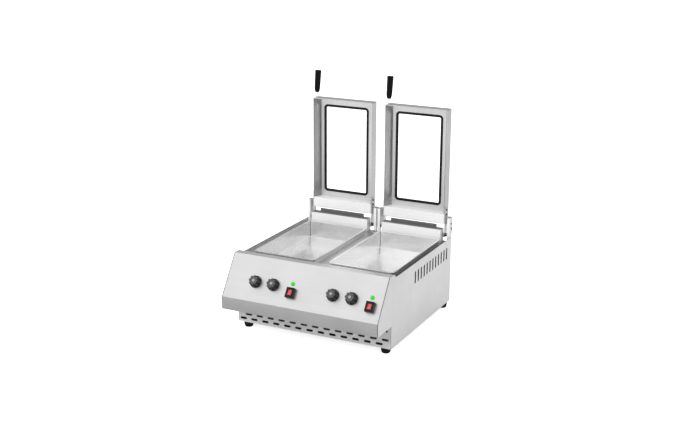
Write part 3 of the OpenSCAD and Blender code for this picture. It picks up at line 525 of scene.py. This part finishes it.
def steel(name, tone, roughness, stretch, relief=0.25, spread=0.08, cloud=0.06, metallic=1, painted_shades=(),
          sharply=(0.6, 0.8), painted_shade_past=()):
    """Brushed sheet: scratches in its gloss, faint clouds of handling, and edges rubbed bright.

    Painted shade by the way faces look: an axis and two tones, of the faces that look along it and of the others.
    Painted shade past a line: an axis, the distances along it where the shade starts and is full, and its tone.
    """
    material, tree, shader = new_material(name)
    scratches, bands = place_group(tree, "grain", Stretch=stretch).outputs
    patches = place_group(tree, "patches").outputs["Patches"]
    edges = place_group(tree, "wear").outputs["Edge"]
    dull, bright = grey(tone * BAND_TONES[0]), grey(min(tone * BAND_TONES[1], BRIGHTEST_SHEET))
    colour = blend_colours(tree, bands, dull, bright)
    clouds = remap(tree, patches, 0.35, 0.7, 0, cloud * 4)
    colour = blend_colours(tree, clouds, colour, grey(tone * CLOUD_TONE))
    colour = blend_colours(tree, edges, colour, grey(min(tone * RUBBED_TONE, BRIGHTEST_EDGE)))
    # Painted shade: faces that look along each axis get one tone, the others another
    for axis, along, beside in painted_shades:
        turned = place_group(tree, "turned", Axis=axis, Start=sharply[0], Full=sharply[1])
        painted_shade = blend_colours(tree, turned.outputs["Facing"], grey(beside), grey(along))
        colour = blend_colours(tree, 1, colour, painted_shade, "MULTIPLY")
    # Painted shade: everything past a line across the piece is darkened
    for axis, start, full, shade_tone in painted_shade_past:
        beyond = place_group(tree, "beyond", Axis=axis, Start=start, Full=full)
        painted_shade = blend_colours(tree, beyond.outputs["Beyond"], grey(1), grey(shade_tone))
        colour = blend_colours(tree, 1, colour, painted_shade, "MULTIPLY")
    tree.links.new(colour, shader.inputs["Base Color"])
    fine = remap(tree, scratches, 0.3, 0.7, roughness - spread, roughness + spread)
    wiped = remap(tree, patches, 0.3, 0.7, -cloud, cloud)
    tree.links.new(math_node(tree, "ADD", fine, wiped), shader.inputs["Roughness"])
    shader.inputs["Metallic"].default_value = metallic
    bump(tree, shader, scratches, relief, SCRATCH_DEPTH)
    return material


def pan_finish(name, tone):
    """Bright sheet of a pan, with a painted dark reflection where its corner faces look along the diagonal."""
    return steel(name, tone, 0.24, LENGTHWAYS, relief=0.12, spread=0.05, painted_shades=[(TO_CORNER, 0.3, 1)],
                 sharply=(0.93, 0.99))


def moulding(name, colour, worn, roughness, often=1800, relief=0.12, specular=0.5, glow=None,
             glow_strength=0):
    """Moulded plastic or rubber with a fine skin and paler rubbed edges."""
    material, tree, shader = new_material(name)
    pebbles = place_group(tree, "moulded", Often=often).outputs["Pebbles"]
    patches = place_group(tree, "patches", Often=35).outputs["Patches"]
    edges = place_group(tree, "wear", Width=0.5 * MM).outputs["Edge"]
    dark, light = (tuple(min(c * share, 1) for c in colour) for share in MOTTLE)
    mottled = blend_colours(tree, patches, dark, light)
    tree.links.new(blend_colours(tree, edges, mottled, worn), shader.inputs["Base Color"])
    gloss = remap(tree, patches, 0.3, 0.7, *(roughness * share for share in MOTTLE))
    tree.links.new(gloss, shader.inputs["Roughness"])
    shader.inputs["Specular IOR Level"].default_value = specular
    if glow:
        shader.inputs["Emission Color"].default_value = (*glow, 1)
        shader.inputs["Emission Strength"].default_value = glow_strength
    bump(tree, shader, pebbles, relief, PEBBLE_DEPTH)
    return material


def window_glass():
    """Clear pane with faint wiped streaks in its gloss."""
    material, tree, shader = new_material("window_glass")
    patches = place_group(tree, "patches", Often=14).outputs["Patches"]
    tree.links.new(remap(tree, patches, 0.4, 0.75, 0, 0.05), shader.inputs["Roughness"])
    shader.inputs["Base Color"].default_value = (0.98, 0.99, 0.99, 1)
    shader.inputs["Transmission Weight"].default_value = 1
    shader.inputs["IOR"].default_value = 1.45
    return material


# Finishes of the record's slots
MATERIALS = {
    "cabinet_steel": steel("cabinet_steel", 0.78, 0.40, ACROSS),
    # Painted shade on the deck's level faces and, darker, its faces to the front and back; and on all past 248 mm
    # to the right
    "deck_steel": steel("deck_steel", 0.86, 0.36, ACROSS, painted_shades=[(TO_TOP, 0.72, 1), (TO_FRONT, 0.39, 1)],
                        painted_shade_past=[(TO_SIDE, 248 * MM, 252 * MM, 0.55)]),
    "pan_steel": pan_finish("pan_steel", 0.97),
    "heater_steel": steel("heater_steel", 0.24, 0.5, LENGTHWAYS, cloud=0.2),
    "guard_steel": steel("guard_steel", 0.27, 0.42, ACROSS),
    "fastener_steel": steel("fastener_steel", 0.1, 0.4, EVEN),
    "foot_rubber": moulding("foot_rubber", grey(0.004), grey(0.02), 0.55, often=1200, relief=0.3,
                            specular=0.2),
    "seal_rubber": moulding("seal_rubber", grey(0.004), grey(0.015), 0.42, often=1500, relief=0.2,
                            specular=0.25),
    "case_plastic": moulding("case_plastic", (0.72, 0.66, 0.54), (0.8, 0.75, 0.66), 0.5),
    "black_plastic": moulding("black_plastic", grey(0.012), grey(0.04), 0.34, specular=0.14),
    "red_plastic": moulding("red_plastic", (0.52, 0.05, 0.05), (0.7, 0.2, 0.18), 0.25, specular=0.4,
                            glow=(1, 0.08, 0.08), glow_strength=0.1),
    "green_lens": moulding("green_lens", (0.01, 0.5, 0.012), (0.1, 0.7, 0.1), 0.2, glow=(0.01, 1, 0.015),
                           glow_strength=0.18),
    # Painted shade on the lid's faces that look along X or Z
    "lid_steel": steel("lid_steel", 0.74, 0.36, UPRIGHT, painted_shades=[(TO_SIDE, 0.78, 1), (TO_TOP, 0.87, 1)]),
    "window_glass": window_glass(),
    "bright_steel": steel("bright_steel", 0.86, 0.16, EVEN, relief=0.05, spread=0.03),
}

# Finishes of single nodes, and of nodes that each side has
# Painted shade: the sheets inside the closed cabinet get a dark tone
SHADED_INSIDE_STEEL = steel("shaded_inside_steel", 0.18, 0.5, ACROSS, cloud=0.2)
OWN_FINISH = {
    # Painted shade: all faces of the plinth but those to the front, as in its slots, are darkened
    "front_plinth": steel("plinth_steel", 0.92, 0.40, ACROSS, painted_shades=[(TO_FRONT, 1, 0.1)]),
    "base_plate": SHADED_INSIDE_STEEL,
    "heat_shield": SHADED_INSIDE_STEEL,
}
SIDE_FINISH = {
    # Painted shade: all faces of a side panel but those to the side, as along its edges, are darkened
    "side_panel": steel("side_steel", 0.80, 0.40, UPRIGHT, painted_shades=[(TO_SIDE, 1, 0.15)]),
    # Painted dark reflection on the hinge box's level faces, and painted shade on its faces to the side
    "hinge_box": steel("hinge_steel", 0.94, 0.42, ACROSS, metallic=0.25,
                       painted_shades=[(TO_TOP, 0.2, 1), (TO_SIDE, 0.74, 1)]),
    # Painted shade on the posts' level faces and their faces to the side
    "hinge_posts": steel("post_steel", 0.95, 0.42, UPRIGHT, metallic=0.2,
                         painted_shades=[(TO_TOP, 0.4, 1), (TO_SIDE, 0.8, 1)]),
    "lid_cross_plate": steel("plate_steel", 0.94, 0.42, ACROSS, metallic=0.2),
    # Painted shade on the liner's faces that look to the side
    "lid_liner": steel("liner_steel", 0.76, 0.36, UPRIGHT, painted_shades=[(TO_SIDE, 0.52, 1)]),
}

# Finishes of dressed pieces
# The left pan's inside is a darker tone than the right's
DARKER_PAN_STEEL = pan_finish("darker_pan_steel", 0.89)
BURNT_STEEL = steel("burnt_steel", 0.12, 0.5, LENGTHWAYS, cloud=0.2)
CAP_STEEL = steel("cap_steel", 0.46, 0.4, EVEN)
GRIP_BLACK = moulding("grip_black", grey(0.003), grey(0.012), 0.28, specular=0.1)
KNOB_BLACK = moulding("knob_black", grey(0.016), grey(0.08), 0.4, specular=0.3)
KNOB_FACE = moulding("knob_face", grey(0.085), grey(0.14), 0.5, specular=0.25)
MARK_PINK = moulding("mark_pink", (0.62, 0.2, 0.19), (0.6, 0.25, 0.24), 0.4)


# Solids kept as they are

def finish_solids():
    """Gives each solid its own finish, or else that of its slot."""
    finish_of = {node: MATERIALS[slot] for node, slot in SLOT_OF.items()}
    finish_of.update(OWN_FINISH)
    for side in SIDES:
        for part, material in SIDE_FINISH.items():
            finish_of[f"{side}_{part}"] = material
    for node, piece in NODES.items():
        piece.data.materials.clear()
        piece.data.materials.append(finish_of[node])


def soften(node, radius):
    """Rounds the sharp edges of a solid, as on bent and deburred sheet."""
    piece = NODES[node]
    weld = piece.modifiers.new("weld", "WELD")
    weld.merge_threshold = 0.002 * MM
    flat = piece.modifiers.new("flat", "DECIMATE")
    flat.decimate_type = "DISSOLVE"
    flat.angle_limit = math.radians(0.5)
    bevel = piece.modifiers.new("edges", "BEVEL")
    bevel.width = radius
    bevel.segments = 2
    bevel.limit_method = "ANGLE"
    bevel.angle_limit = math.radians(32)
    bevel.miter_outer = "MITER_ARC"
    normals = piece.modifiers.new("normals", "WEIGHTED_NORMAL")
    normals.keep_sharp = False


def soften_sheets():
    """Bent and cut sheet shows a small round on every edge."""
    sheets = ["base_plate", "front_plinth", "control_panel", "rear_panel", "top_deck", "heat_shield",
              "drip_guards", "switch_housings", "terminal_block"]
    for side in SIDES:
        sheets += [f"{side}_{part}" for part in (
            "side_panel", "hinge_box", "hinge_posts", "lid_shell", "lid_liner", "lid_cross_plate", "lid_arms",
            "window_glass", "rocker")]
    for node in sheets:
        soften(node, SHEET_EDGE)


# Pans

def pan(side):
    """Pressed pan: filleted floor, straight walls, a hem rolled over its collar, a heat-stained outside."""
    node = f"{side}_pan"
    low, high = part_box(node)
    middle = (low + high) / 2
    hem_z, floor_z = high.z, high.z - PAN_DEPTH
    under_hem, hem_end = hem_z - PAN_WALL, hem_z - PAN_HEM_DROP
    fillet = (-PAN_FILLET, floor_z + PAN_FILLET)
    bright = arc(fillet, PAN_FILLET, 270, 360)
    bright += arc((PAN_WALL, under_hem), PAN_WALL, 180, 90)
    bright += arc((PAN_HEM - PAN_WALL, under_hem), PAN_WALL, 90, 0)
    bright += [(PAN_HEM, hem_end), (PAN_HEM - PAN_WALL, hem_end), (PAN_HEM - PAN_WALL, under_hem)]
    burnt = [(PAN_WALL, under_hem)] + arc(fillet, PAN_FILLET + PAN_WALL, 360, 270)
    inner_w = high.x - low.x - 2 * PAN_HEM
    inner_l = high.y - low.y - 2 * PAN_HEM
    rings = []
    for out, z in bright + burnt:
        corner = max(PAN_CORNER + out, PAN_CORNER_LEAST)
        rings.append(round_rect(inner_w + 2 * out, inner_l + 2 * out, corner, z))
    bm = bmesh.new()
    loft(bm, rings, Matrix.Translation((middle.x, middle.y, 0)))
    for nut_low, nut_high in solids("clamp_nuts"):
        nut = (nut_low + nut_high) / 2
        if low.x < nut.x < high.x:
            stud = [(STUD_R - 0.4 * MM, low.z), (STUD_R, low.z + 0.5 * MM), (STUD_R, floor_z - PAN_WALL)]
            lathe(bm, stud, Matrix.Translation((nut.x, nut.y, 0)), 16)
    ring_faces = len(rings[0])
    inner_floor = ring_faces * (len(rings) - 1)
    for i, face in enumerate(bm.faces):
        if i >= ring_faces * len(bright) and i != inner_floor:
            face.material_index = 1
    inside = DARKER_PAN_STEEL if side == "left" else MATERIALS["pan_steel"]
    stands_for(node, bm, material=inside).data.materials.append(BURNT_STEEL)


# Lids

def window_seal(side):
    """Rubber seal with a rounded lip on each face of the lid and a groove for the pane."""
    node = f"{side}_window_seal"
    low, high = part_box(node)
    width, length = high.x - low.x, high.z - low.z
    front, back = low.y + SEAL_LIP, high.y - SEAL_BACK
    web = SEAL_GRIP + SEAL_WEB
    bulge = [(0.5 * MM, front - 0.1 * MM), (0.05 * MM, front - 0.8 * MM), (0.9 * MM, front - 1.7 * MM),
             (2.6 * MM, low.y), (SEAL_FACE - 2.6 * MM, low.y), (SEAL_FACE - 0.9 * MM, front - 1.7 * MM),
             (SEAL_FACE, front - 0.8 * MM), (SEAL_FACE - 0.4 * MM, front)]
    groove = [(web, front), (web, back)]
    flap = [(SEAL_FACE - 0.4 * MM, back), (SEAL_FACE, back + 0.6 * MM),
            (SEAL_FACE - 1.2 * MM, high.y - 0.15 * MM), (SEAL_FACE - 2.8 * MM, high.y), (2.6 * MM, high.y),
            (0.9 * MM, high.y - 0.2 * MM), (0.05 * MM, back + 0.7 * MM), (0.5 * MM, back)]
    stem = [(SEAL_GRIP, back), (SEAL_GRIP, front - 0.1 * MM)]
    middle = (low + high) / 2
    placed = Matrix.Translation((middle.x, 0, middle.z)) @ Matrix.Rotation(math.radians(90), 4, "X")
    rings = []
    for inset, depth in bulge + groove + flap + stem:
        rings.append(round_rect(width - 2 * inset, length - 2 * inset, SEAL_CORNER - inset, -depth, 8))
    bm = bmesh.new()
    loft(bm, rings, placed, loop=True)
    stands_for(node, bm, sharp=50)


def handle_frame(side):
    """Frame at the foot of a handle, with +Z along it."""
    low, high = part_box(f"{side}_lid_shell")
    foot = Vector((low.x + HANDLE_INSET, low.y + HANDLE_DEPTH, high.z))
    return Matrix.Translation(foot) @ Matrix.Rotation(-HANDLE_LEAN, 4, "X")


def handle_rod(side):
    """Bright rod with a turned collar where it leaves the lid."""
    top = ROD_LENGTH + ROD_INSIDE
    collar = [(ROD_COLLAR_R - 0.3 * MM, -0.4 * MM), (ROD_COLLAR_R, 0), (ROD_COLLAR_R, ROD_COLLAR - 0.8 * MM),
              (ROD_COLLAR_R - 0.6 * MM, ROD_COLLAR - 0.1 * MM)]
    rod = [(ROD_R, ROD_COLLAR), (ROD_R, top - ROD_CHAMFER), (ROD_R - ROD_CHAMFER, top)]
    bm = bmesh.new()
    lathe(bm, collar + rod, handle_frame(side), 32)
    stands_for(f"{side}_handle_rod", bm)


def handle_grip(side):
    """Turned grip: a tapered nose that swells to a nearly straight barrel with a domed end."""
    nose, barrel, end = ROD_LENGTH, ROD_LENGTH + GRIP_NOSE, ROD_LENGTH + GRIP_LENGTH
    neck_r, round_top = GRIP_R - GRIP_SWELL, nose + GRIP_NOSE_ROUND
    profile = [(GRIP_BORE_R, nose + GRIP_BORE), (GRIP_BORE_R, nose)]
    profile += arc((GRIP_TIP_R - GRIP_NOSE_ROUND, round_top), GRIP_NOSE_ROUND, 270, 360)
    for i in range(1, GRIP_NOSE_STEPS + 1):
        share = i / GRIP_NOSE_STEPS
        eased = math.sin(share * math.pi / 2)
        profile.append((GRIP_TIP_R + (neck_r - GRIP_TIP_R) * eased, round_top + share * GRIP_NOSE))
    profile += [(neck_r + GRIP_SWELL * share, barrel + (end - barrel) * share) for share in (0.3, 0.6)]
    profile += arc((GRIP_R - GRIP_END_ROUND, end - GRIP_END_ROUND), GRIP_END_ROUND, 0, 75, 6)
    profile += [(GRIP_R - 4.5 * MM, end - 0.02 * MM), (2 * MM, end)]
    bm = bmesh.new()
    lathe(bm, profile, handle_frame(side))
    stands_for(f"{side}_handle_grip", bm, sharp=60, material=GRIP_BLACK)


# Controls

def control_knob(side, control):
    """Fluted knob that narrows from its round skirt to a paler face with a bright cap."""
    node = f"{side}_{control}_knob"
    placed = facing(JOINTS[f"{side}_{control}_turn"]["pos_m"], SLOPE_OUT)
    steps = KNOB_LOBES * KNOB_LOBE_STEPS

    def plain(radius, z):
        return circle(radius, z, steps)

    def fluted(out, z):
        def radius_at(angle):
            return out - KNOB_FLUTE * (0.5 - 0.5 * math.cos(KNOB_LOBES * angle)) ** KNOB_SCALLOP
        return polar_ring(radius_at, z, steps)

    skirt_low, skirt_high = KNOB_SKIRT
    base = KNOB_TOP - KNOB_SUNK
    rim_r = KNOB_FACE_R - KNOB_RIM
    skirt = [plain(KNOB_R - KNOB_UNDER, skirt_low), plain(KNOB_R - KNOB_BEVEL, skirt_low),
             plain(KNOB_R, skirt_low + KNOB_BEVEL), plain(KNOB_R, skirt_high - KNOB_BEVEL),
             plain(KNOB_R - KNOB_BEVEL, skirt_high)]
    lobes = [fluted(KNOB_LOBE_R - 0.3 * MM, skirt_high), fluted(KNOB_LOBE_R, skirt_high + 0.8 * MM)]
    for out, z in arc((KNOB_FACE_R - 0.4 * MM, KNOB_TOP - KNOB_EDGE), KNOB_EDGE, 20, 90):
        lobes.append(fluted(out, z))
    dish = [fluted(rim_r, KNOB_TOP), fluted(rim_r - 0.3 * MM, base), plain(CAP_R + 1 * MM, base)]
    bm = bmesh.new()
    loft(bm, skirt + lobes + dish, placed)
    stands_for(node, bm, material=KNOB_BLACK)
    face = bmesh.new()
    loft(face, [fluted(rim_r - 0.35 * MM, base - 0.2 * MM), fluted(rim_r - 0.35 * MM, base + 0.25 * MM),
                fluted(rim_r - 0.7 * MM, base + 0.45 * MM), plain(CAP_R + 0.2 * MM, base + 0.2 * MM)], placed)
    add_piece(f"{node}_face", face, KNOB_FACE, BODY_OF[node])
    cap = bmesh.new()
    lathe(cap, [(CAP_R, base), (CAP_R, base + 0.5 * MM), (CAP_R - 0.6 * MM, base + 0.9 * MM),
                (CAP_R - 2 * MM, base + 1.2 * MM), (0.8 * MM, base + 1.3 * MM)], placed, 32)
    add_piece(f"{node}_cap", cap, CAP_STEEL, BODY_OF[node])


def rocker_marks(side):
    """Printed bar and ring on the two halves of a rocker's face."""
    node = f"{side}_rocker"
    pivot = facing(JOINTS[f"{side}_switch_rock"]["pos_m"], SLOPE_OUT)
    at_rest = pivot @ Matrix.Rotation(-ROCKER_TILT, 4, "X")
    quarter = ROCKER_LENGTH / 4
    height = ROCKER_WAIST + quarter * math.tan(ROCKER_TILT)
    upper, lower = (at_rest @ Matrix.Translation((0, half * quarter, height))
                    @ Matrix.Rotation(half * ROCKER_TILT, 4, "X") for half in (1, -1))
    bm = bmesh.new()
    loft(bm, [round_rect(*MARK_BAR, MARK_BAR_CORNER, z, 3) for z in MARK_LEVELS], upper)
    (ring_in, ring_out), (sunk, proud) = MARK_RING, MARK_LEVELS
    lathe(bm, [(ring_in, sunk), (ring_out, sunk), (ring_out, proud), (ring_in, proud)], lower, 32, loop=True)
    add_piece(f"{node}_marks", bm, MARK_PINK, BODY_OF[node])


def lamp_lenses():
    """Moulded lenses: a stepped rim and a dome."""
    bm = bmesh.new()
    for low, high in solids("lamp_lenses"):
        middle = (low + high) / 2
        radius = (high.x - low.x) / 2
        foot = Vector((middle.x, high.y - radius * SLOPE_OUT.z, low.z - radius * SLOPE_OUT.y))
        profile = [(radius - LAMP_BEVEL, 0), (radius, LAMP_BEVEL), (radius, LAMP_RIM - 0.3 * MM),
                   (radius - LAMP_BEVEL, LAMP_RIM)]
        for share in (0.1, 0.25, 0.4, 0.55, 0.7, 0.85):
            angle = share * math.pi / 2
            profile.append(((radius - 0.5 * MM) * math.cos(angle), LAMP_RIM + LAMP_DOME * math.sin(angle)))
        profile.append((0.3 * MM, LAMP_RIM + LAMP_DOME))
        lathe(bm, profile, facing(foot, SLOPE_OUT), 40)
    stands_for("lamp_lenses", bm, sharp=50)


# Fasteners

def cross_head(bm, placed, radius, height):
    """Domed screw head with a cross recess, seated at the frame's origin."""
    reach, half, depth = 0.62 * radius, 0.18 * radius, 0.55 * height

    def cross(scale, z):
        def radius_at(angle):
            along, aside = sorted((abs(math.cos(angle)), abs(math.sin(angle))), reverse=True)
            return scale * min(reach / along, half / aside)
        return polar_ring(radius_at, z, start=0.5)

    dome = [circle(radius * share, height * level) for share, level in (
        (0.96, 0), (1, 0.08), (1, 0.4), (0.95, 0.68), (0.84, 0.9), (0.7, 1))]
    loft(bm, dome + [cross(1, height), cross(0.8, height - depth)], placed)


def hex_nut(bm, placed, corner_r, height, bolt_r):
    """Six-sided nut on a bolt, with both ends chamfered, from the frame's origin up."""
    flat_r = corner_r * math.cos(math.pi / 6)
    bore_r, end_r, chamfer = bolt_r - THREAD_BITE, 0.97 * flat_r, 0.14 * height

    def six_sided(z):
        def radius_at(angle):
            return flat_r / math.cos((angle + math.pi / 6) % (math.pi / 3) - math.pi / 6)
        return polar_ring(radius_at, z)

    loft(bm, [circle(bore_r, 0), circle(end_r, 0), six_sided(chamfer), six_sided(height - chamfer),
              circle(end_r, height), circle(bore_r, height)], placed, loop=True)


def screw_axis(low, high):
    """Way out of a screw's head: along its odd size, away from the middle of its pan or of the cabinet."""
    size, middle = high - low, (low + high) / 2
    oddness = [min(abs(size[i] - size[j]) for j in range(3) if j != i) for i in range(3)]
    axis = oddness.index(max(oddness))
    out = Vector((0, 0, 0))
    out[axis] = 1
    if axis == 0:
        pans = [sum(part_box(f"{side}_pan"), Vector()) / 2 for side in SIDES]
        nearest = min(pans, key=lambda pan_middle: abs(pan_middle.x - middle.x))
        out.x = 1 if middle.x > nearest.x else -1
    if axis == 1:
        out.y = 1 if middle.y > 0 else -1
    return out, size[axis]


def cross_screws(node, head, shank_r, nut=None):
    """Screws with domed cross heads, and with nuts if they have any."""
    head_r, head_h = head
    bm = bmesh.new()
    for low, high in solids(node):
        out, length = screw_axis(low, high)
        seat = (low + high) / 2 + out * (length / 2 - head_h)
        placed = facing(seat, out, UP if out.z == 0 else Vector((0, 1, 0)))
        tail = head_h - length
        cross_head(bm, placed, head_r, head_h)
        lathe(bm, [(shank_r - 0.5 * MM, tail), (shank_r, tail + 0.6 * MM), (shank_r, 0.05 * MM)], placed, 24)
        if nut:
            corner_r, height, under = nut
            hex_nut(bm, raised(placed, -under - height), corner_r, height, shank_r)
    stands_for(node, bm)


def hinge_bolts():
    """Bolts with a low domed head inside the lid arm, a spacer, and a nut inside the post."""
    bm = bmesh.new()
    start, end = BOLT_SPACER
    bore_r, edge_r = BOLT_R - THREAD_BITE, BOLT_SPACER_R - BOLT_SPACER_EDGE
    for low, high in solids("pivot_bolts"):
        out, length = screw_axis(low, high)
        placed = facing((low + high) / 2 - out * (length / 2), out)
        head = [(2.5 * MM, 0), (5 * MM, 0.25 * MM), (BOLT_HEAD_R - 0.5 * MM, 0.9 * MM),
                (BOLT_HEAD_R, 1.3 * MM), (BOLT_HEAD_R, BOLT_HEAD - 0.2 * MM),
                (BOLT_HEAD_R - 0.3 * MM, BOLT_HEAD)]
        shank = [(BOLT_R, BOLT_HEAD), (BOLT_R, length - BOLT_CHAMFER), (BOLT_R - BOLT_CHAMFER, length)]
        lathe(bm, head + shank, placed)
        lathe(bm, [(bore_r, start), (edge_r, start), (BOLT_SPACER_R, start + BOLT_SPACER_EDGE),
                   (BOLT_SPACER_R, end - BOLT_SPACER_EDGE), (edge_r, end), (bore_r, end)], placed, loop=True)
        hex_nut(bm, raised(placed, BOLT_NUT_FOOT), BOLT_HEAD_R, BOLT_NUT, BOLT_R)
    stands_for("pivot_bolts", bm)


def cable_gland():
    """Gland with a nut on each side of the rear panel and a ribbed cap that closes round a cord."""
    low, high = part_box("cable_gland")
    middle = (low + high) / 2
    placed = facing((middle.x, high.y - GLAND_OUTSIDE, middle.z), (0, 1, 0))
    inner = low.y - high.y + GLAND_OUTSIDE
    groove_r = GLAND_R - GLAND_GROOVE
    profile = [(GLAND_BORE_R, GLAND_OUTSIDE - GLAND_EDGE), (GLAND_BORE_R, inner), (groove_r, inner),
               (GLAND_R, inner + GLAND_GROOVE), (GLAND_R, GLAND_NUT), (GLAND_R, GLAND_NUT + 1 * MM)]
    for rib in range(GLAND_RIBS):
        z = GLAND_NUT + 1.5 * MM + rib * GLAND_RIB_PITCH
        profile += [(groove_r, z), (groove_r, z + 0.6 * MM), (GLAND_R, z + 1 * MM), (GLAND_R, z + 1.3 * MM)]
    profile += arc((GLAND_R - GLAND_ROUND, GLAND_OUTSIDE - GLAND_ROUND), GLAND_ROUND, 0, 90, 4)
    profile.append((GLAND_BORE_R + GLAND_EDGE, GLAND_OUTSIDE))
    bm = bmesh.new()
    lathe(bm, profile, placed, loop=True)
    for start in (0, -PANEL_SHEET - GLAND_NUT):
        hex_nut(bm, raised(placed, start), GLAND_NUT_R, GLAND_NUT, GLAND_R)
    stands_for("cable_gland", bm)


# Feet

def feet():
    """Turned rubber feet with a grooved side and a recess for the screw."""
    bm = bmesh.new()
    for low, high in solids("feet"):
        middle = (low + high) / 2
        top_r, height = (high.x - low.x) / 2, high.z
        recess = height - FOOT_SEAT
        profile = [(FOOT_RECESS_R, recess), (FOOT_RECESS_R, FOOT_EDGE), (FOOT_RECESS_R + FOOT_EDGE, 0),
                   (FOOT_TIP_R - FOOT_ROUND, 0)]
        profile += arc((FOOT_TIP_R - FOOT_ROUND, FOOT_ROUND), FOOT_ROUND, 285, 350, 6)
        for i in range(1, FOOT_GROOVES + 1):
            z = FOOT_ROUND + (height - FOOT_ROUND - 2 * MM) * i / (FOOT_GROOVES + 1)
            radius = FOOT_TIP_R + (top_r - FOOT_TIP_R) * z / height
            groove_r = radius - FOOT_GROOVE
            profile += [(radius, z - 0.8 * MM), (groove_r, z - 0.4 * MM), (groove_r, z + 0.4 * MM),
                        (radius, z + 0.8 * MM)]
        profile += [(top_r - 0.1 * MM, height - 1 * MM), (top_r - 0.8 * MM, height), (FOOT_HOLE_R, height),
                    (FOOT_HOLE_R, recess)]
        lathe(bm, profile, Matrix.Translation((middle.x, middle.y, 0)), loop=True)
    stands_for("feet", bm)


# Stage

def make_camera():
    """Camera at the photograph's place, with its focal length and framing."""
    data = bpy.data.cameras.new("camera")
    camera = bpy.data.objects.new("camera", data)
    bpy.context.scene.collection.objects.link(camera)
    back = Vector((math.cos(ELEVATION) * math.sin(AZIMUTH), -math.cos(ELEVATION) * math.cos(AZIMUTH),
                   math.sin(ELEVATION)))
    camera.location = LOOK_AT + back * DISTANCE
    camera.rotation_mode = "QUATERNION"
    camera.rotation_quaternion = (-back).to_track_quat("-Z", "Y")
    data.sensor_width = SENSOR_MM
    data.lens = SENSOR_MM * FOCAL_PX / IMAGE[0]
    data.shift_x = (IMAGE[0] / 2 - CENTRE_PX[0]) / IMAGE[0]
    data.shift_y = (CENTRE_PX[1] - IMAGE[1] / 2) / IMAGE[0]
    bpy.context.scene.camera = camera


def seen_directly(tree):
    """1 where the camera sees a surface, also through glass, and 0 in reflections and lighting."""
    path = tree.nodes.new("ShaderNodeLightPath")
    return math_node(tree, "MAXIMUM", path.outputs["Is Camera Ray"], path.outputs["Is Transmission Ray"])


def floor_finish():
    """Pale floor that looks burnt out to white where it is seen, as in a high-key studio."""
    material, tree, shader = new_material("floor")
    shader.inputs["Base Color"].default_value = (*grey(FLOOR_TONE), 1)
    shader.inputs["Roughness"].default_value = FLOOR_ROUGHNESS
    shader.inputs["Emission Color"].default_value = (1, 1, 1, 1)
    burnt = math_node(tree, "MULTIPLY", seen_directly(tree), FLOOR_GAIN)
    tree.links.new(burnt, shader.inputs["Emission Strength"])
    return material


def card_finish(name, tone):
    """Card of one even tone, for the sheet steel to reflect."""
    material, tree, shader = new_material(name)
    shader.inputs["Base Color"].default_value = (0, 0, 0, 1)
    shader.inputs["Specular IOR Level"].default_value = 0
    shader.inputs["Emission Color"].default_value = (*grey(tone), 1)
    shader.inputs["Emission Strength"].default_value = 1
    return material


def add_stage(name, size, place, material):
    """Flat card of the studio, which isn't part of the fryer."""
    bm = bmesh.new()
    bmesh.ops.create_grid(bm, x_segments=1, y_segments=1, size=0.5)
    mesh = bpy.data.meshes.new(name)
    bm.to_mesh(mesh)
    bm.free()
    mesh.materials.append(material)
    card = bpy.data.objects.new(name, mesh)
    card.location = place
    card.scale = (*size, 1)
    bpy.context.scene.collection.objects.link(card)
    return card


def make_floor():
    """Floor, and grey cards on it that show only as reflections."""
    add_stage("floor", FLOOR_SIZE, (0, 0, 0), floor_finish())
    for name, (tone, size, place) in CARDS.items():
        card = add_stage(name, size, place, card_finish(name, tone))
        card.visible_camera = False
        card.visible_shadow = False
        card.visible_diffuse = False
        card.visible_transmission = False


def make_world():
    """White surround that falls to grey behind the fryer, but is plain white where it is seen."""
    world = bpy.data.worlds.new("studio")
    world.use_nodes = True
    tree = world.node_tree
    split = tree.nodes.new("ShaderNodeSeparateXYZ")
    tree.links.new(coordinate(tree, "Generated"), split.inputs[0])
    studio = remap(tree, split.outputs["Y"], *BACK_SPAN, 1, BACK_TONE)
    white = math_node(tree, "MULTIPLY", seen_directly(tree), BACKDROP)
    background = tree.nodes["Background"]
    background.inputs["Color"].default_value = (1, 1, 1, 1)
    tree.links.new(math_node(tree, "MAXIMUM", studio, white), background.inputs["Strength"])
    bpy.context.scene.world = world


def make_light():
    """Broad soft light from high in front, for the floor and the mouldings, that leaves the steel even."""
    data = bpy.data.lights.new("soft_light", "SUN")
    data.energy = LIGHT_STRENGTH
    data.angle = LIGHT_SPREAD
    light = bpy.data.objects.new("soft_light", data)
    light.rotation_euler = LIGHT_TILT
    light.visible_glossy = False
    bpy.context.scene.collection.objects.link(light)
    bpy.context.scene.view_settings.view_transform = "Standard"


finish_solids()
soften_sheets()
for side in SIDES:
    pan(side)
    window_seal(side)
    handle_rod(side)
    handle_grip(side)
    for control in CONTROLS:
        control_knob(side, control)
    rocker_marks(side)
    cross_screws(f"{side}_arm_bolts", ARM_BOLT_HEAD, ARM_BOLT_SHANK_R)
cross_screws("panel_screws", SCREW_HEAD, SCREW_SHANK_R)
cross_screws("post_screws", SCREW_HEAD, SCREW_SHANK_R, POST_NUT)
hinge_bolts()
cable_gland()
lamp_lenses()
feet()
make_camera()
make_floor()
make_world()
make_light()
